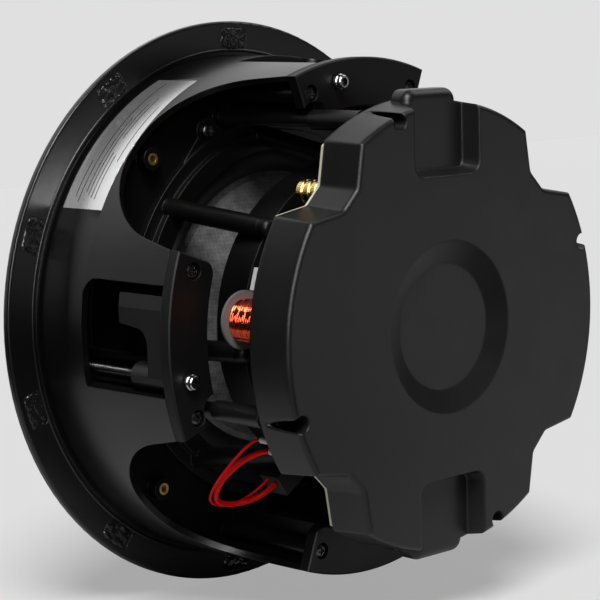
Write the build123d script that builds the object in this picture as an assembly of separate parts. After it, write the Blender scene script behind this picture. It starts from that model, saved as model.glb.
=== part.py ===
from build123d import *
import math
import os

# In-ceiling speaker. Sizes are in millimetres and angles in degrees about the speaker's axis.
# The axis is Z, the ceiling's face is at height 0, and +Z points to the back, up into the ceiling.

# Cone and surround
CONE_RADIUS = 67.0
CONE_LIP = 3.0
CONE_DEPTH = 31.0
CONE_FLARE = 2.6
CONE_BANDS = 5
CONE_THICKNESS = 0.8
CONE_TRAVEL = 5.0
SURROUND_WIDTH = 11.0
SURROUND_HEIGHT = 5.5
SURROUND_THICKNESS = 0.8
SURROUND_FLANGE = 7.0
GLUE_GAP = 0.1

# Basket
OPENING_GAP = 1.0
BASKET_SEAT = 7.4
BASKET_FLANGE = 4.0
BASKET_STEP_WIDTH = 5.9
BASKET_STEP_HEIGHT = 3.5
BASKET_DEPTH = 59.0
CUP_MARGIN = 5.6
CUP_HEIGHT = 18.0
CUP_WALL = 3.0
CUP_OPENING_RADIUS = 30.0
SPIDER_SEAT = 14.6
SPOKE_COUNT = 8
SPOKE_RADIUS = 4.8
SPOKE_ANGLE = 6.0
SPOKE_FOOT_INSET = 7.4
SPOKE_OVERLAP = 2.4
EAR_ANGLE = 25.0
EAR_REACH = 4.6
EAR_RADIUS = 6.5
EAR_THICKNESS = 3.0
EAR_ROOT_NEAR = 12.0
EAR_ROOT_FAR = 22.0

# Voice coil and motor
COIL_RADIUS = 19.2
FORMER_WALL = 0.4
FORMER_TAIL = 4.0
WINDING_WALL = 0.7
COIL_GAP = 0.6
SPIDER_THICKNESS = 0.8
SPIDER_WAVE = 2.0
SPIDER_WAVE_COUNT = 2
TOP_PLATE_RADIUS = 56.0
TOP_PLATE_THICKNESS = 7.0
FERRITE_RADIUS = 60.0
FERRITE_HOLE_RADIUS = 30.0
FERRITE_THICKNESS = 18.0
YOKE_RADIUS = 56.0
YOKE_THICKNESS = 6.0
YOKE_BEVEL = 2.0

# Tweeter on its post through the pole
TWEETER_RADIUS = 21.0
TWEETER_DEPTH = 18.0
TWEETER_FRONT = 3.0
TWEETER_RIM = 3.0
TWEETER_DISH = 3.5
TWEETER_BACK_RADIUS = 9.0
DOME_RADIUS = 12.5
DOME_HEIGHT = 5.0
DOME_BANDS = 4
DOME_SEAT = 1.0
POST_TUBE_RADIUS = 5.8
POST_TUBE_GAP = 0.2
NUT_HEIGHT = 4.0
NUT_RADIUS = 10.0

# Woofer terminal block on the side of the cup
TERMINAL_ANGLE = 213.0
TERMINAL_OFFSET = 36.4
TERMINAL_REACH = 18.4
TERMINAL_WIDTH = 11.0
TERMINAL_HEIGHT = 12.0

# Frame: flange, collar and baffle
FLANGE_WIDTH = 17.0
FLANGE_THICKNESS = 3.0
FLANGE_ROUND = 1.2
LIP_WIDTH = 2.4
LIP_HEIGHT = 1.2
GROOVE_WIDTH = 2.2
GROOVE_DEPTH = 1.2
COLLAR_WALL = 3.5
BAFFLE_BACK = 27.0
BAFFLE_THICKNESS = 4.0

# Frame: arms and the windows between them
ARM_ANGLES = [0, 90, 180, 270]
WINDOW_ANGLES = [45, 135, 225, 315]
ARM_HEIGHT = 86.5
ARM_DEPTH = 23.5
ARM_LEAN = 0.6
ARM_LEAN_START = 32.9
WINDOW_SILL = 33.4
WINDOW_SILL_HALF_WIDTH = 40.5
WINDOW_TOP_HALF_WIDTH = 51.2
WINDOW_CORNER = 44.0
TOWER_WALL = 2.5
GUIDE_RIB_OFFSET = 10.7
GUIDE_RIB_WIDTH = 3.6
GUIDE_RIB_HEIGHT = 3.1

# Clamps and their screws
CLAMP_SCREW_ANGLE = 8.0
CLAMP_SCREW_INSET = 10.5
CLAMP_SCREW_RADIUS = 2.5
CLAMP_SCREW_GAP = 0.3
CLAMP_SCREW_HEAD_RADIUS = 4.6
CLAMP_SCREW_HEAD_HEIGHT = 3.2
CLAMP_SCREW_COLLAR_RADIUS = 3.6
CLAMP_SCREW_COLLAR_HEIGHT = 2.2
CLAMP_SCREW_TIP_RADIUS = 3.1
CLAMP_SCREW_TIP_HEIGHT = 2.0
CLAMP_SCREW_SOCKET_RADIUS = 1.9
CLAMP_SCREW_SOCKET_DEPTH = 2.0
CLAMP_HALF_THICKNESS = 6.2
CLAMP_REACH = 37.4
CLAMP_FOOT_LENGTH = 13.9
CLAMP_FOOT_HEIGHT = 32.5
CLAMP_FOOT_TAPER = 2.0
CLAMP_BRIDGE_HEIGHT = 13.5
CLAMP_BOSS_HEIGHT = 25.5
CLAMP_HOOK_ROUND = 8.0
CLAMP_EDGE_ROUND = 1.0
CLAMP_TRAVEL = 39.0
CLAMP_END_GAP = 1.0
CLAMP_SIDE_GAP = 0.9
POCKET_END_GAP = 5.3
POCKET_CORNER = 9.0

# Caps on the ends of the arms
CAP_HALF_ANGLE = 20.2
CAP_THICKNESS = 6.0
CAP_INSET = 0.1
CAP_CORNER = 6.0
CAP_EDGE_BEVEL = 0.7
CAP_SCREW_ANGLE = 17.0
CAP_SCREW_INSET = 11.5
CAP_BOSS_RADIUS = 4.6
CAP_RIB_THICKNESS = 2.4

# Small screws and inserts
SCREW_RADIUS = 1.5
SCREW_GAP = 0.1
SCREW_LENGTH = 14.0
SCREW_HEAD_RADIUS = 3.5
SCREW_HEAD_HEIGHT = 2.4
SCREW_SINK_GAP = 0.4
INSERT_INSET = 13.0
INSERT_RADIUS = 2.8
INSERT_HOLE_RADIUS = 1.65
INSERT_LENGTH = 6.5
INSERT_BOSS_RADIUS = 5.4
INSERT_BOSS_HEIGHT = 6.0

# Grille magnets in the flange
MAGNET_COUNT = 10
MAGNET_TURN = 16.3
MAGNET_INSET = 8.5
MAGNET_LENGTH = 13.0
MAGNET_WIDTH = 6.5
MAGNET_THICKNESS = 1.4
MAGNET_COVER_THICKNESS = 0.6
MAGNET_COVER_BORDER = 2.0
MAGNET_GAP = 0.1

# Rating label
LABEL_ANGLE = 133.0
LABEL_HALF_ANGLE = 19.6
LABEL_LOW = 4.5
LABEL_HIGH = 32.8
LABEL_THICKNESS = 0.2
LABEL_GAP = 0.05

# Posts that carry the board and the cover
POST_ANGLE = 18.0
POST_MARGIN = 6.1
POST_RADIUS = 4.7
POST_SLIM_RADIUS = 3.4
POST_SLIM_LENGTH = 61.0
POST_PAD_RADIUS = 4.5
POST_PAD_HEIGHT = 4.0
POST_RELIEF_GAP = 3.3
SPIGOT_RADIUS = 2.2
SPIGOT_LENGTH = 6.0

# Crossover board and its components
BOARD_GAP = 5.6
BOARD_THICKNESS = 1.6
BOARD_INSET = 0.2
BOARD_MARGIN = 1.7
INDUCTOR_ANGLES = [173.6, 68.0]
INDUCTOR_INSET = 12.0
INDUCTOR_FLANGE_RADIUS = 13.1
INDUCTOR_FLANGE_THICKNESS = 1.2
INDUCTOR_LENGTH = 21.0
INDUCTOR_WINDING_RADIUS = 9.7
INDUCTOR_CORE_RADIUS = 5.0
CAPACITOR_ANGLES = [355.0, 265.0]
CAPACITOR_INSET = 14.0
CAPACITOR_RADIUS = 8.5
CAPACITOR_LENGTH = 30.0
CAPACITOR_BEVEL = 1.0
RESISTOR_ANGLES = [162.5, 92.0]
RESISTOR_INSET = 4.2
RESISTOR_LENGTH = 10.0
RESISTOR_WIDTH = 8.6
RESISTOR_HEIGHT = 4.6
RESISTOR_STANDOFF = 1.0
RESISTOR_LEG_RADIUS = 0.5
RESISTOR_LEG_SPACING = 6.0
BINDING_ANGLES = [129.4, 117.0]
BINDING_INSET = 16.5
BINDING_RADIUS = 4.4
BINDING_NECK_RADIUS = 3.4
BINDING_LENGTH = 13.0
BINDING_COLLARS = 3
BINDING_BUSH_RADIUS = 5.0
BINDING_BUSH_HEIGHT = 2.6

# Leads from the board to the woofer. Each has its sleeve's angle and how far it stands outside the posts'
# circle, its place on the terminal block, and points between: distance outside the posts' circle, angle,
# and height as a share of the way from the basket's back to the board.
SLEEVE_WIDTH = 3.4
SLEEVE_DEPTH = 3.2
SLEEVE_HEIGHT = 6.6
LEAD_RUN_OUT = 3.6
LEAD_RUN_IN = 8.0
LEAD_BEND_SHARE = 0.45
LEAD_RADII = {"lead_1": 0.65, "lead_2": 1.3}
LEAD_SLEEVES = {"lead_1": (204.4, 1.0), "lead_2": (208.9, -1.1)}
LEAD_TAGS = {"lead_1": (-3.6, -1.6), "lead_2": (-0.8, 1.0)}
LEAD_POINTS = {
    "lead_1": [
        (6.4, 209.0, 0.40),
        (13.2, 216.6, -0.09),
        (14.6, 223.8, -0.46),
        (5.2, 233.6, -0.62),
    ],
    "lead_2": [
        (3.9, 210.9, 0.40),
        (9.7, 216.6, -0.05),
        (12.2, 224.4, -0.43),
        (5.2, 232.6, -0.53),
    ],
}

# Back cover
COVER_MARGIN = 4.5
COVER_DEPTH = 21.9
COVER_DRAFT = 5.0
COVER_WALL = 2.5
COVER_EDGE_ROUND = 2.2
COVER_CORNER = 2.5
COVER_TAB_HEIGHT = 3.0
NOTCH_DEPTH = 13.8
NOTCH_FLOOR_WIDTH = 11.4
NOTCH_SIDE_ANGLE = 54.4
SCREW_NOTCH_RADIUS = 4.0
RIM_POCKET_ANGLES = [90, 270]
RIM_POCKET_HALF_WIDTH = 21.7
RIM_POCKET_LENGTH = 35.0
RIM_POCKET_DEPTH = 9.0
RIM_POCKET_DRAFT = 16.0
RIM_POCKET_CORNER = 6.0
RIM_LIP_REACH = 4.0
RIM_LIP_HALF_WIDTH = 17.0
RIM_LIP_HEIGHT = 10.0
RIM_LIP_CORNER = 6.0
RIM_LIP_ROUND = 4.5
DISH_RADIUS = 39.7
DISH_FLOOR_RADIUS = 29.0
DISH_DEPTH = 4.5

# A little more than the solid that is cut, so that no cut ends on a face
OVERRUN = 1.0

# Radii that follow, from the cone outwards
cup_radius = CONE_RADIUS + CUP_MARGIN
roll_outer = CONE_RADIUS + SURROUND_WIDTH
opening_radius = roll_outer + SURROUND_FLANGE + OPENING_GAP
basket_radius = opening_radius + BASKET_SEAT
ear_circle = basket_radius + EAR_REACH
post_circle = basket_radius + POST_MARGIN
tower_radius = post_circle
collar_radius = tower_radius + ARM_DEPTH
collar_inner = collar_radius - COLLAR_WALL
arm_radius = collar_radius - ARM_LEAN
flange_radius = collar_radius + FLANGE_WIDTH
cover_radius = post_circle + COVER_MARGIN
cap_screw_circle = collar_radius - CAP_SCREW_INSET
former_outer = COIL_RADIUS + FORMER_WALL
winding_outer = former_outer + WINDING_WALL
pole_radius = COIL_RADIUS - COIL_GAP

# Heights that follow, from the baffle to the back
baffle_front = BAFFLE_BACK - BAFFLE_THICKNESS
basket_back = BAFFLE_BACK + BASKET_DEPTH
cup_front = basket_back - CUP_HEIGHT
cone_edge = BAFFLE_BACK + GLUE_GAP
cone_neck = cone_edge + CONE_DEPTH
ferrite_front = basket_back + TOP_PLATE_THICKNESS
yoke_front = ferrite_front + FERRITE_THICKNESS
yoke_back = yoke_front + YOKE_THICKNESS
board_front = yoke_back + BOARD_GAP
cover_front = board_front + BOARD_THICKNESS
cover_back = cover_front + COVER_DEPTH
cap_back = ARM_HEIGHT + CAP_THICKNESS

# Leads' ends
terminal_face = math.sqrt(cup_radius**2 - TERMINAL_OFFSET**2) + TERMINAL_REACH
terminal_middle = basket_back - CUP_HEIGHT / 2
sleeve_front = board_front - SLEEVE_HEIGHT

# Places in one arm: X runs outwards along the arm, Y along the collar
clamp_turn = math.radians(CLAMP_SCREW_ANGLE)
clamp_x = (collar_radius - CLAMP_SCREW_INSET) * math.cos(clamp_turn)
clamp_y = (collar_radius - CLAMP_SCREW_INSET) * math.sin(clamp_turn)
clamp_top = ARM_HEIGHT - CLAMP_END_GAP
foot_low = clamp_top - CLAMP_FOOT_HEIGHT
bridge_low = clamp_top - CLAMP_BRIDGE_HEIGHT
boss_low = clamp_top - CLAMP_BOSS_HEIGHT
pocket_low = clamp_y - CLAMP_REACH - POCKET_END_GAP
pocket_high = clamp_y + CLAMP_HALF_THICKNESS + CLAMP_SIDE_GAP
pocket_floor = foot_low - CLAMP_TRAVEL - CLAMP_END_GAP
pocket_sill = bridge_low - CLAMP_TRAVEL - CLAMP_END_GAP
tower_floor = pocket_floor - TOWER_WALL


def at(radius, degrees, height=0.0):
    """The place at a radius, an angle and a height."""
    turn = math.radians(degrees)
    return Pos(radius * math.cos(turn), radius * math.sin(turn), height)


def facing(radius, degrees, height=0.0):
    """The same place, turned so that X points outwards there."""
    return at(radius, degrees, height) * Rot(0, 0, degrees)


def rod(radius, low, high):
    """A cylinder about Z between two heights."""
    return Pos(0, 0, low) * extrude(Circle(radius), high - low)


def tube(inner, outer, low, high):
    """A tube about Z between two heights."""
    return Pos(0, 0, low) * extrude(Circle(outer) - Circle(inner), high - low)


def block(x_low, x_high, y_low, y_high, z_low, z_high):
    """A box between six planes."""
    size = Box(x_high - x_low, y_high - y_low, z_high - z_low, align=(Align.MIN,) * 3)
    return Pos(x_low, y_low, z_low) * size


def turned(*points):
    """A solid of revolution from pairs of radius and height."""
    return revolve(Plane.XZ * make_face(Polyline(*points, close=True)), Axis.Z)


def around(shape, angles):
    """Copies of a shape turned to several angles."""
    return [Rot(0, 0, angle) * shape for angle in angles]


def wedge(low_angle, high_angle, reach):
    """A flat wedge between two angles, to cut a part of a ring."""
    low = math.radians(low_angle)
    high = math.radians(high_angle)
    corners = [(0, 0), (reach * math.cos(low), reach * math.sin(low))]
    corners.append((reach * math.cos(high), reach * math.sin(high)))
    return make_face(Polyline(*corners, close=True))


def pan_screw(length):
    """A small screw with a domed head, its seat at height 0."""
    crown = 0.7 * SCREW_HEAD_RADIUS
    brim = 0.6 * SCREW_HEAD_HEIGHT
    return turned(
        (0, SCREW_HEAD_HEIGHT),
        (crown, SCREW_HEAD_HEIGHT),
        (SCREW_HEAD_RADIUS, brim),
        (SCREW_HEAD_RADIUS, 0),
        (SCREW_RADIUS, 0),
        (SCREW_RADIUS, -length),
        (0, -length),
    )


# Frame
def frame_shell():
    """Flange, collar and baffle as one turned shell, still without its windows."""
    seat = -FLANGE_THICKNESS
    front = seat - LIP_HEIGHT
    groove = collar_radius + GROOVE_WIDTH
    lip = flange_radius - LIP_WIDTH
    outline = make_face(
        Polyline(
            (flange_radius, 0),
            (groove, 0),
            (groove, -GROOVE_DEPTH),
            (collar_radius, -GROOVE_DEPTH),
            (collar_radius, ARM_LEAN_START),
            (arm_radius, ARM_HEIGHT),
            (collar_inner, ARM_HEIGHT),
            (collar_inner, BAFFLE_BACK),
            (opening_radius, BAFFLE_BACK),
            (opening_radius, baffle_front),
            (collar_inner, baffle_front),
            (collar_inner, seat),
            (lip, seat),
            (lip, front),
            (flange_radius, front),
            close=True,
        )
    )
    outline = fillet(outline.vertices().group_by(Axis.X)[-1], FLANGE_ROUND)
    return revolve(Plane.XZ * outline, Axis.Z)


def window():
    """The cutter for one window, with its sill and large round corners."""
    rise = ARM_HEIGHT - WINDOW_SILL
    lean = (WINDOW_TOP_HALF_WIDTH - WINDOW_SILL_HALF_WIDTH) / rise
    top = WINDOW_TOP_HALF_WIDTH + lean * OVERRUN
    high = ARM_HEIGHT + OVERRUN
    sill = WINDOW_SILL_HALF_WIDTH
    outline = make_face(
        Polyline((-top, high), (-sill, WINDOW_SILL), (sill, WINDOW_SILL), (top, high), close=True)
    )
    outline = fillet(outline.vertices().group_by(Axis.Y)[0], WINDOW_CORNER)
    nearest = math.sqrt(collar_inner**2 - top**2) - OVERRUN
    depth = collar_radius + OVERRUN - nearest
    return Pos(nearest, 0, 0) * extrude(Plane.YZ * outline, depth)


def tower_plan(inner, outer, low, high):
    """The part of a ring that lies between two lines along an arm."""
    strip = Pos(outer / 2, (low + high) / 2) * Rectangle(outer * 2, high - low)
    ahead = Pos(outer, 0) * Rectangle(outer * 2, outer * 2)
    return ((Circle(outer) - Circle(inner)) & strip) & ahead


def tower():
    """The walls round one clamp, the bosses for its cap's screws and their ribs."""
    plan = tower_plan(
        tower_radius, collar_radius - COLLAR_WALL / 2, pocket_low - TOWER_WALL, pocket_high + TOWER_WALL
    )
    pieces = [Pos(0, 0, tower_floor) * extrude(plan, ARM_HEIGHT - tower_floor)]
    for angle in (-CAP_SCREW_ANGLE, CAP_SCREW_ANGLE):
        pieces.append(at(cap_screw_circle, angle) * rod(CAP_BOSS_RADIUS, baffle_front, ARM_HEIGHT))
        rib = block(
            0,
            CAP_SCREW_INSET - COLLAR_WALL / 2,
            -CAP_RIB_THICKNESS / 2,
            CAP_RIB_THICKNESS / 2,
            baffle_front,
            ARM_HEIGHT,
        )
        pieces.append(facing(cap_screw_circle, angle) * rib)
    return pieces


def pocket():
    """The room that one clamp moves in, with its mouth through the collar and its screw's holes."""
    rib_low = GUIDE_RIB_OFFSET - GUIDE_RIB_WIDTH / 2
    rib_high = GUIDE_RIB_OFFSET + GUIDE_RIB_WIDTH / 2
    inner = tower_radius + TOWER_WALL
    room = tower_plan(inner, collar_inner, pocket_low, pocket_high)
    room -= tower_plan(inner - OVERRUN, inner + GUIDE_RIB_HEIGHT, rib_low, rib_high)
    high = ARM_HEIGHT + OVERRUN
    mouth = make_face(
        Polyline(
            (pocket_low, high),
            (pocket_low, pocket_sill),
            (pocket_high, pocket_sill),
            (pocket_high, high),
            close=True,
        )
    )
    corner = mouth.vertices().sort_by_distance((pocket_low, pocket_sill))[0]
    mouth = fillet(corner, POCKET_CORNER)
    mouth_start = clamp_x
    mouth_depth = collar_radius + OVERRUN - mouth_start
    cuts = [Pos(0, 0, pocket_floor) * extrude(room, high - pocket_floor)]
    cuts.append(Pos(mouth_start, 0, 0) * extrude(Plane.YZ * mouth, mouth_depth))
    screw_hole = rod(CLAMP_SCREW_RADIUS + CLAMP_SCREW_GAP, tower_floor - OVERRUN, pocket_floor + OVERRUN)
    cuts.append(Pos(clamp_x, clamp_y, 0) * screw_hole)
    for angle in (-CAP_SCREW_ANGLE, CAP_SCREW_ANGLE):
        hole = rod(SCREW_RADIUS + SCREW_GAP, ARM_HEIGHT - SCREW_LENGTH, high)
        cuts.append(at(cap_screw_circle, angle) * hole)
    return cuts


def magnet_plan(length, width, angle):
    """The outline of a magnet or its cover on the flange."""
    return facing(collar_radius + MAGNET_INSET, angle) * RectangleRounded(width, length, width / 4)


def magnet_angles():
    return [MAGNET_TURN + 360 * step / MAGNET_COUNT for step in range(MAGNET_COUNT)]


def magnet_pockets():
    """Pockets for the grille's magnets, each with a shallow seat for its cover."""
    cuts = []
    depth = MAGNET_COVER_THICKNESS + MAGNET_THICKNESS
    cover_length = MAGNET_LENGTH + 2 * MAGNET_COVER_BORDER
    cover_width = MAGNET_WIDTH + 2 * MAGNET_COVER_BORDER
    for angle in magnet_angles():
        gap = 2 * MAGNET_GAP
        well = magnet_plan(MAGNET_LENGTH + gap, MAGNET_WIDTH + gap, angle)
        seat = magnet_plan(cover_length + gap, cover_width + gap, angle)
        cuts.append(Pos(0, 0, -depth) * extrude(well, depth + OVERRUN))
        cuts.append(Pos(0, 0, -MAGNET_COVER_THICKNESS) * extrude(seat, MAGNET_COVER_THICKNESS + OVERRUN))
    return cuts


def frame():
    """The moulded frame: flange, collar, baffle, arms, clamp towers and bosses."""
    body = frame_shell()
    body -= around(window(), WINDOW_ANGLES)
    added = []
    cut = []
    for arm in ARM_ANGLES:
        added += [Rot(0, 0, arm) * piece for piece in tower()]
        cut += [Rot(0, 0, arm) * piece for piece in pocket()]
        added.append(at(post_circle, arm + POST_ANGLE) * rod(POST_PAD_RADIUS, baffle_front, pad_back()))
        spigot_hole = rod(SPIGOT_RADIUS + SCREW_GAP, pad_back() - SPIGOT_LENGTH, pad_back() + OVERRUN)
        cut.append(at(post_circle, arm + POST_ANGLE) * spigot_hole)
        ear_boss_front = ear_seat() - SCREW_LENGTH - TOWER_WALL
        added.append(at(ear_circle, arm + EAR_ANGLE) * rod(EAR_RADIUS, ear_boss_front, BAFFLE_BACK))
        ear_hole = rod(SCREW_RADIUS + SCREW_GAP, ear_seat() - SCREW_LENGTH, BAFFLE_BACK + OVERRUN)
        cut.append(at(ear_circle, arm + EAR_ANGLE) * ear_hole)
    insert_circle = collar_radius - INSERT_INSET
    insert_back = BAFFLE_BACK + INSERT_BOSS_HEIGHT
    for angle in WINDOW_ANGLES:
        added.append(at(insert_circle, angle) * rod(INSERT_BOSS_RADIUS, baffle_front, insert_back))
        hole = rod(INSERT_RADIUS, insert_back - INSERT_LENGTH, insert_back + OVERRUN)
        cut.append(at(insert_circle, angle) * hole)
    recess = label_shape(collar_radius - LABEL_GAP - LABEL_THICKNESS, collar_radius + OVERRUN, LABEL_GAP)
    body += added
    body -= cut + magnet_pockets() + [recess]
    return body


def pad_back():
    """Height of the pads that the cover's posts stand on."""
    return BAFFLE_BACK + POST_PAD_HEIGHT


def ear_seat():
    """Height of the face under the heads of the basket's screws."""
    return BAFFLE_BACK + EAR_THICKNESS


# Caps, clamps and clamp screws of one arm, for the arm along +X
def clamp_cap():
    """The plate on the end of an arm."""
    plan = Circle(arm_radius - CAP_INSET) - Circle(tower_radius)
    plan &= wedge(-CAP_HALF_ANGLE, CAP_HALF_ANGLE, flange_radius)
    plan -= at(post_circle, POST_ANGLE) * Circle(POST_RADIUS + POST_RELIEF_GAP)
    inner_corner = at(tower_radius, -CAP_HALF_ANGLE).position
    plan = fillet(plan.vertices().sort_by_distance(inner_corner)[0], CAP_CORNER)
    body = Pos(0, 0, ARM_HEIGHT) * extrude(plan, CAP_THICKNESS)
    body = chamfer(body.edges().group_by(Axis.Z)[-1], CAP_EDGE_BEVEL)
    cuts = []
    hole = rod(CLAMP_SCREW_RADIUS + CLAMP_SCREW_GAP, ARM_HEIGHT - OVERRUN, cap_back + OVERRUN)
    cuts.append(Pos(clamp_x, clamp_y, 0) * hole)
    for angle in (-CAP_SCREW_ANGLE, CAP_SCREW_ANGLE):
        shank = rod(SCREW_RADIUS + SCREW_GAP, ARM_HEIGHT - OVERRUN, cap_back + OVERRUN)
        sink = rod(SCREW_HEAD_RADIUS + SCREW_SINK_GAP, cap_screw_seat(), cap_back + OVERRUN)
        cuts.append(at(cap_screw_circle, angle) * shank)
        cuts.append(at(cap_screw_circle, angle) * sink)
    return body - cuts


def cap_screw_seat():
    """Height of the floor of the counterbores in the caps."""
    return cap_back - SCREW_HEAD_HEIGHT - SCREW_SINK_GAP


def clamp_screw():
    """A clamp's screw, from its head in front to its collar and socket behind the cap."""
    head_seat = tower_floor - CLAMP_SCREW_GAP
    collar_seat = cap_back + CLAMP_SCREW_GAP
    tip_root = collar_seat + CLAMP_SCREW_COLLAR_HEIGHT
    tip = tip_root + CLAMP_SCREW_TIP_HEIGHT
    body = turned(
        (0, head_seat - CLAMP_SCREW_HEAD_HEIGHT),
        (CLAMP_SCREW_HEAD_RADIUS, head_seat - CLAMP_SCREW_HEAD_HEIGHT),
        (CLAMP_SCREW_HEAD_RADIUS, head_seat),
        (CLAMP_SCREW_RADIUS, head_seat),
        (CLAMP_SCREW_RADIUS, collar_seat),
        (CLAMP_SCREW_COLLAR_RADIUS, collar_seat),
        (CLAMP_SCREW_COLLAR_RADIUS, tip_root),
        (CLAMP_SCREW_TIP_RADIUS, tip_root),
        (CLAMP_SCREW_TIP_RADIUS, tip),
        (0, tip),
    )
    socket = extrude(RegularPolygon(CLAMP_SCREW_SOCKET_RADIUS, 6), CLAMP_SCREW_SOCKET_DEPTH + OVERRUN)
    body -= Pos(0, 0, tip - CLAMP_SCREW_SOCKET_DEPTH) * socket
    return Pos(clamp_x, clamp_y, 0) * body


def clamp():
    """A hook-shaped clamp, stowed in its pocket: foot, bridge and boss on the screw."""
    far = clamp_y - CLAMP_REACH
    near = far + CLAMP_FOOT_LENGTH
    root = near + CLAMP_FOOT_TAPER
    outline = make_face(
        Polyline(
            (far, foot_low),
            (near, foot_low),
            (root, bridge_low),
            (clamp_y, bridge_low),
            (clamp_y, clamp_top),
            (far, clamp_top),
            close=True,
        )
    )
    hook = outline.vertices().sort_by_distance((root, bridge_low))[0]
    outline = fillet(hook, CLAMP_HOOK_ROUND)
    foot_corners = outline.vertices().group_by(Axis.Y)[0]
    outline = fillet(foot_corners, CLAMP_EDGE_ROUND)
    arm = extrude(Plane.YZ * outline, 2 * CLAMP_HALF_THICKNESS)
    body = Pos(clamp_x - CLAMP_HALF_THICKNESS, 0, 0) * arm
    body += Pos(clamp_x, clamp_y, 0) * rod(CLAMP_HALF_THICKNESS, boss_low, clamp_top)
    body &= rod(collar_inner - CLAMP_SIDE_GAP, foot_low - OVERRUN, clamp_top + OVERRUN)
    hole = rod(CLAMP_SCREW_RADIUS + CLAMP_SCREW_GAP, boss_low - OVERRUN, clamp_top + OVERRUN)
    return body - Pos(clamp_x, clamp_y, 0) * hole


def cap_screws():
    """The screws of all the caps."""
    screws = []
    for arm in ARM_ANGLES:
        for angle in (arm - CAP_SCREW_ANGLE, arm + CAP_SCREW_ANGLE):
            screws.append(at(cap_screw_circle, angle, cap_screw_seat()) * pan_screw(SCREW_LENGTH))
    return screws


# Small pieces on the frame
def brass_inserts():
    insert = tube(INSERT_HOLE_RADIUS, INSERT_RADIUS, -INSERT_LENGTH, 0)
    back = BAFFLE_BACK + INSERT_BOSS_HEIGHT
    return [at(collar_radius - INSERT_INSET, angle, back) * insert for angle in WINDOW_ANGLES]


def grille_magnets():
    low = -MAGNET_COVER_THICKNESS - MAGNET_THICKNESS
    plans = [magnet_plan(MAGNET_LENGTH, MAGNET_WIDTH, angle) for angle in magnet_angles()]
    return [Pos(0, 0, low) * extrude(plan, MAGNET_THICKNESS) for plan in plans]


def magnet_covers():
    length = MAGNET_LENGTH + 2 * MAGNET_COVER_BORDER
    width = MAGNET_WIDTH + 2 * MAGNET_COVER_BORDER
    plans = [magnet_plan(length, width, angle) for angle in magnet_angles()]
    return [Pos(0, 0, -MAGNET_COVER_THICKNESS) * extrude(plan, MAGNET_COVER_THICKNESS) for plan in plans]


def label_shape(inner, outer, border):
    """A piece of the collar's surface, as large as the label and a border round it."""
    turn = LABEL_HALF_ANGLE + math.degrees(border / collar_radius)
    plan = (Circle(outer) - Circle(inner)) & wedge(LABEL_ANGLE - turn, LABEL_ANGLE + turn, 2 * flange_radius)
    return Pos(0, 0, LABEL_LOW - border) * extrude(plan, LABEL_HIGH - LABEL_LOW + 2 * border)


def rating_label():
    """A blank label, flush in a shallow recess of the collar."""
    inner = collar_radius - LABEL_GAP - LABEL_THICKNESS
    return label_shape(inner, inner + LABEL_THICKNESS, 0)


# Woofer
def basket_ear():
    """One ear of the basket's flange, with the hole for its screw, on the +X side."""
    root = basket_radius - BASKET_STEP_WIDTH / 2
    neck = make_face(
        Polyline(
            (root, -EAR_ROOT_NEAR),
            (ear_circle, -EAR_RADIUS),
            (ear_circle, EAR_RADIUS),
            (root, EAR_ROOT_FAR),
            close=True,
        )
    )
    plan = neck + Pos(ear_circle, 0) * Circle(EAR_RADIUS)
    plan -= Pos(ear_circle, 0) * Circle(SCREW_RADIUS + SCREW_GAP)
    return Pos(0, 0, BAFFLE_BACK) * extrude(plan, EAR_THICKNESS)


def spoke():
    """One round spoke from the basket's ring along the side of its rear cup, on the +X side."""
    ring_back = BAFFLE_BACK + BASKET_FLANGE
    foot = Vector(basket_radius - SPOKE_FOOT_INSET, 0, ring_back)
    head = Vector(cup_radius + SPOKE_RADIUS - SPOKE_OVERLAP, 0, basket_back)
    run = head - foot
    past = run.normalized() * BASKET_FLANGE * 2
    leg = extrude(Plane(origin=foot - past, z_dir=run) * Circle(SPOKE_RADIUS), (run + past * 2).length)
    return leg & tube(cup_radius - CUP_WALL, basket_radius, BAFFLE_BACK, basket_back)


def woofer_basket():
    """Cast basket: stepped ring with ears, spokes and the rear cup that carries the motor."""
    step = basket_radius - BASKET_STEP_WIDTH
    ring_back = BAFFLE_BACK + BASKET_FLANGE
    step_back = ring_back + BASKET_STEP_HEIGHT
    ring = turned(
        (roll_outer, BAFFLE_BACK),
        (basket_radius, BAFFLE_BACK),
        (basket_radius, ring_back),
        (step, ring_back),
        (step, step_back),
        (roll_outer, step_back),
    )
    inside = cup_radius - CUP_WALL
    seat = cup_radius - SPIDER_SEAT
    cup = turned(
        (seat, cup_front),
        (cup_radius, cup_front),
        (cup_radius, basket_back),
        (CUP_OPENING_RADIUS, basket_back),
        (CUP_OPENING_RADIUS, basket_back - CUP_WALL),
        (inside, basket_back - CUP_WALL),
        (inside, cup_front + CUP_WALL),
        (seat, cup_front + CUP_WALL),
    )
    spokes = [SPOKE_ANGLE + 360 * step_count / SPOKE_COUNT for step_count in range(SPOKE_COUNT)]
    legs = around(spoke(), spokes)
    ears = around(basket_ear(), [arm + EAR_ANGLE for arm in ARM_ANGLES])
    return ring + [cup] + legs + ears


def basket_screws():
    places = [at(ear_circle, arm + EAR_ANGLE, ear_seat()) for arm in ARM_ANGLES]
    return [place * pan_screw(SCREW_LENGTH) for place in places]


def woofer_terminal():
    """Terminal block on the side of the cup that takes the leads."""
    near = TERMINAL_OFFSET - TERMINAL_WIDTH / 2
    far = TERMINAL_OFFSET + TERMINAL_WIDTH / 2
    low = terminal_middle - TERMINAL_HEIGHT / 2
    high = low + TERMINAL_HEIGHT
    root = math.sqrt(cup_radius**2 - far**2)
    body = block(root, terminal_face, near, far, low, high)
    body -= rod(cup_radius, low - OVERRUN, high + OVERRUN)
    return Rot(0, 0, TERMINAL_ANGLE) * body


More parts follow.
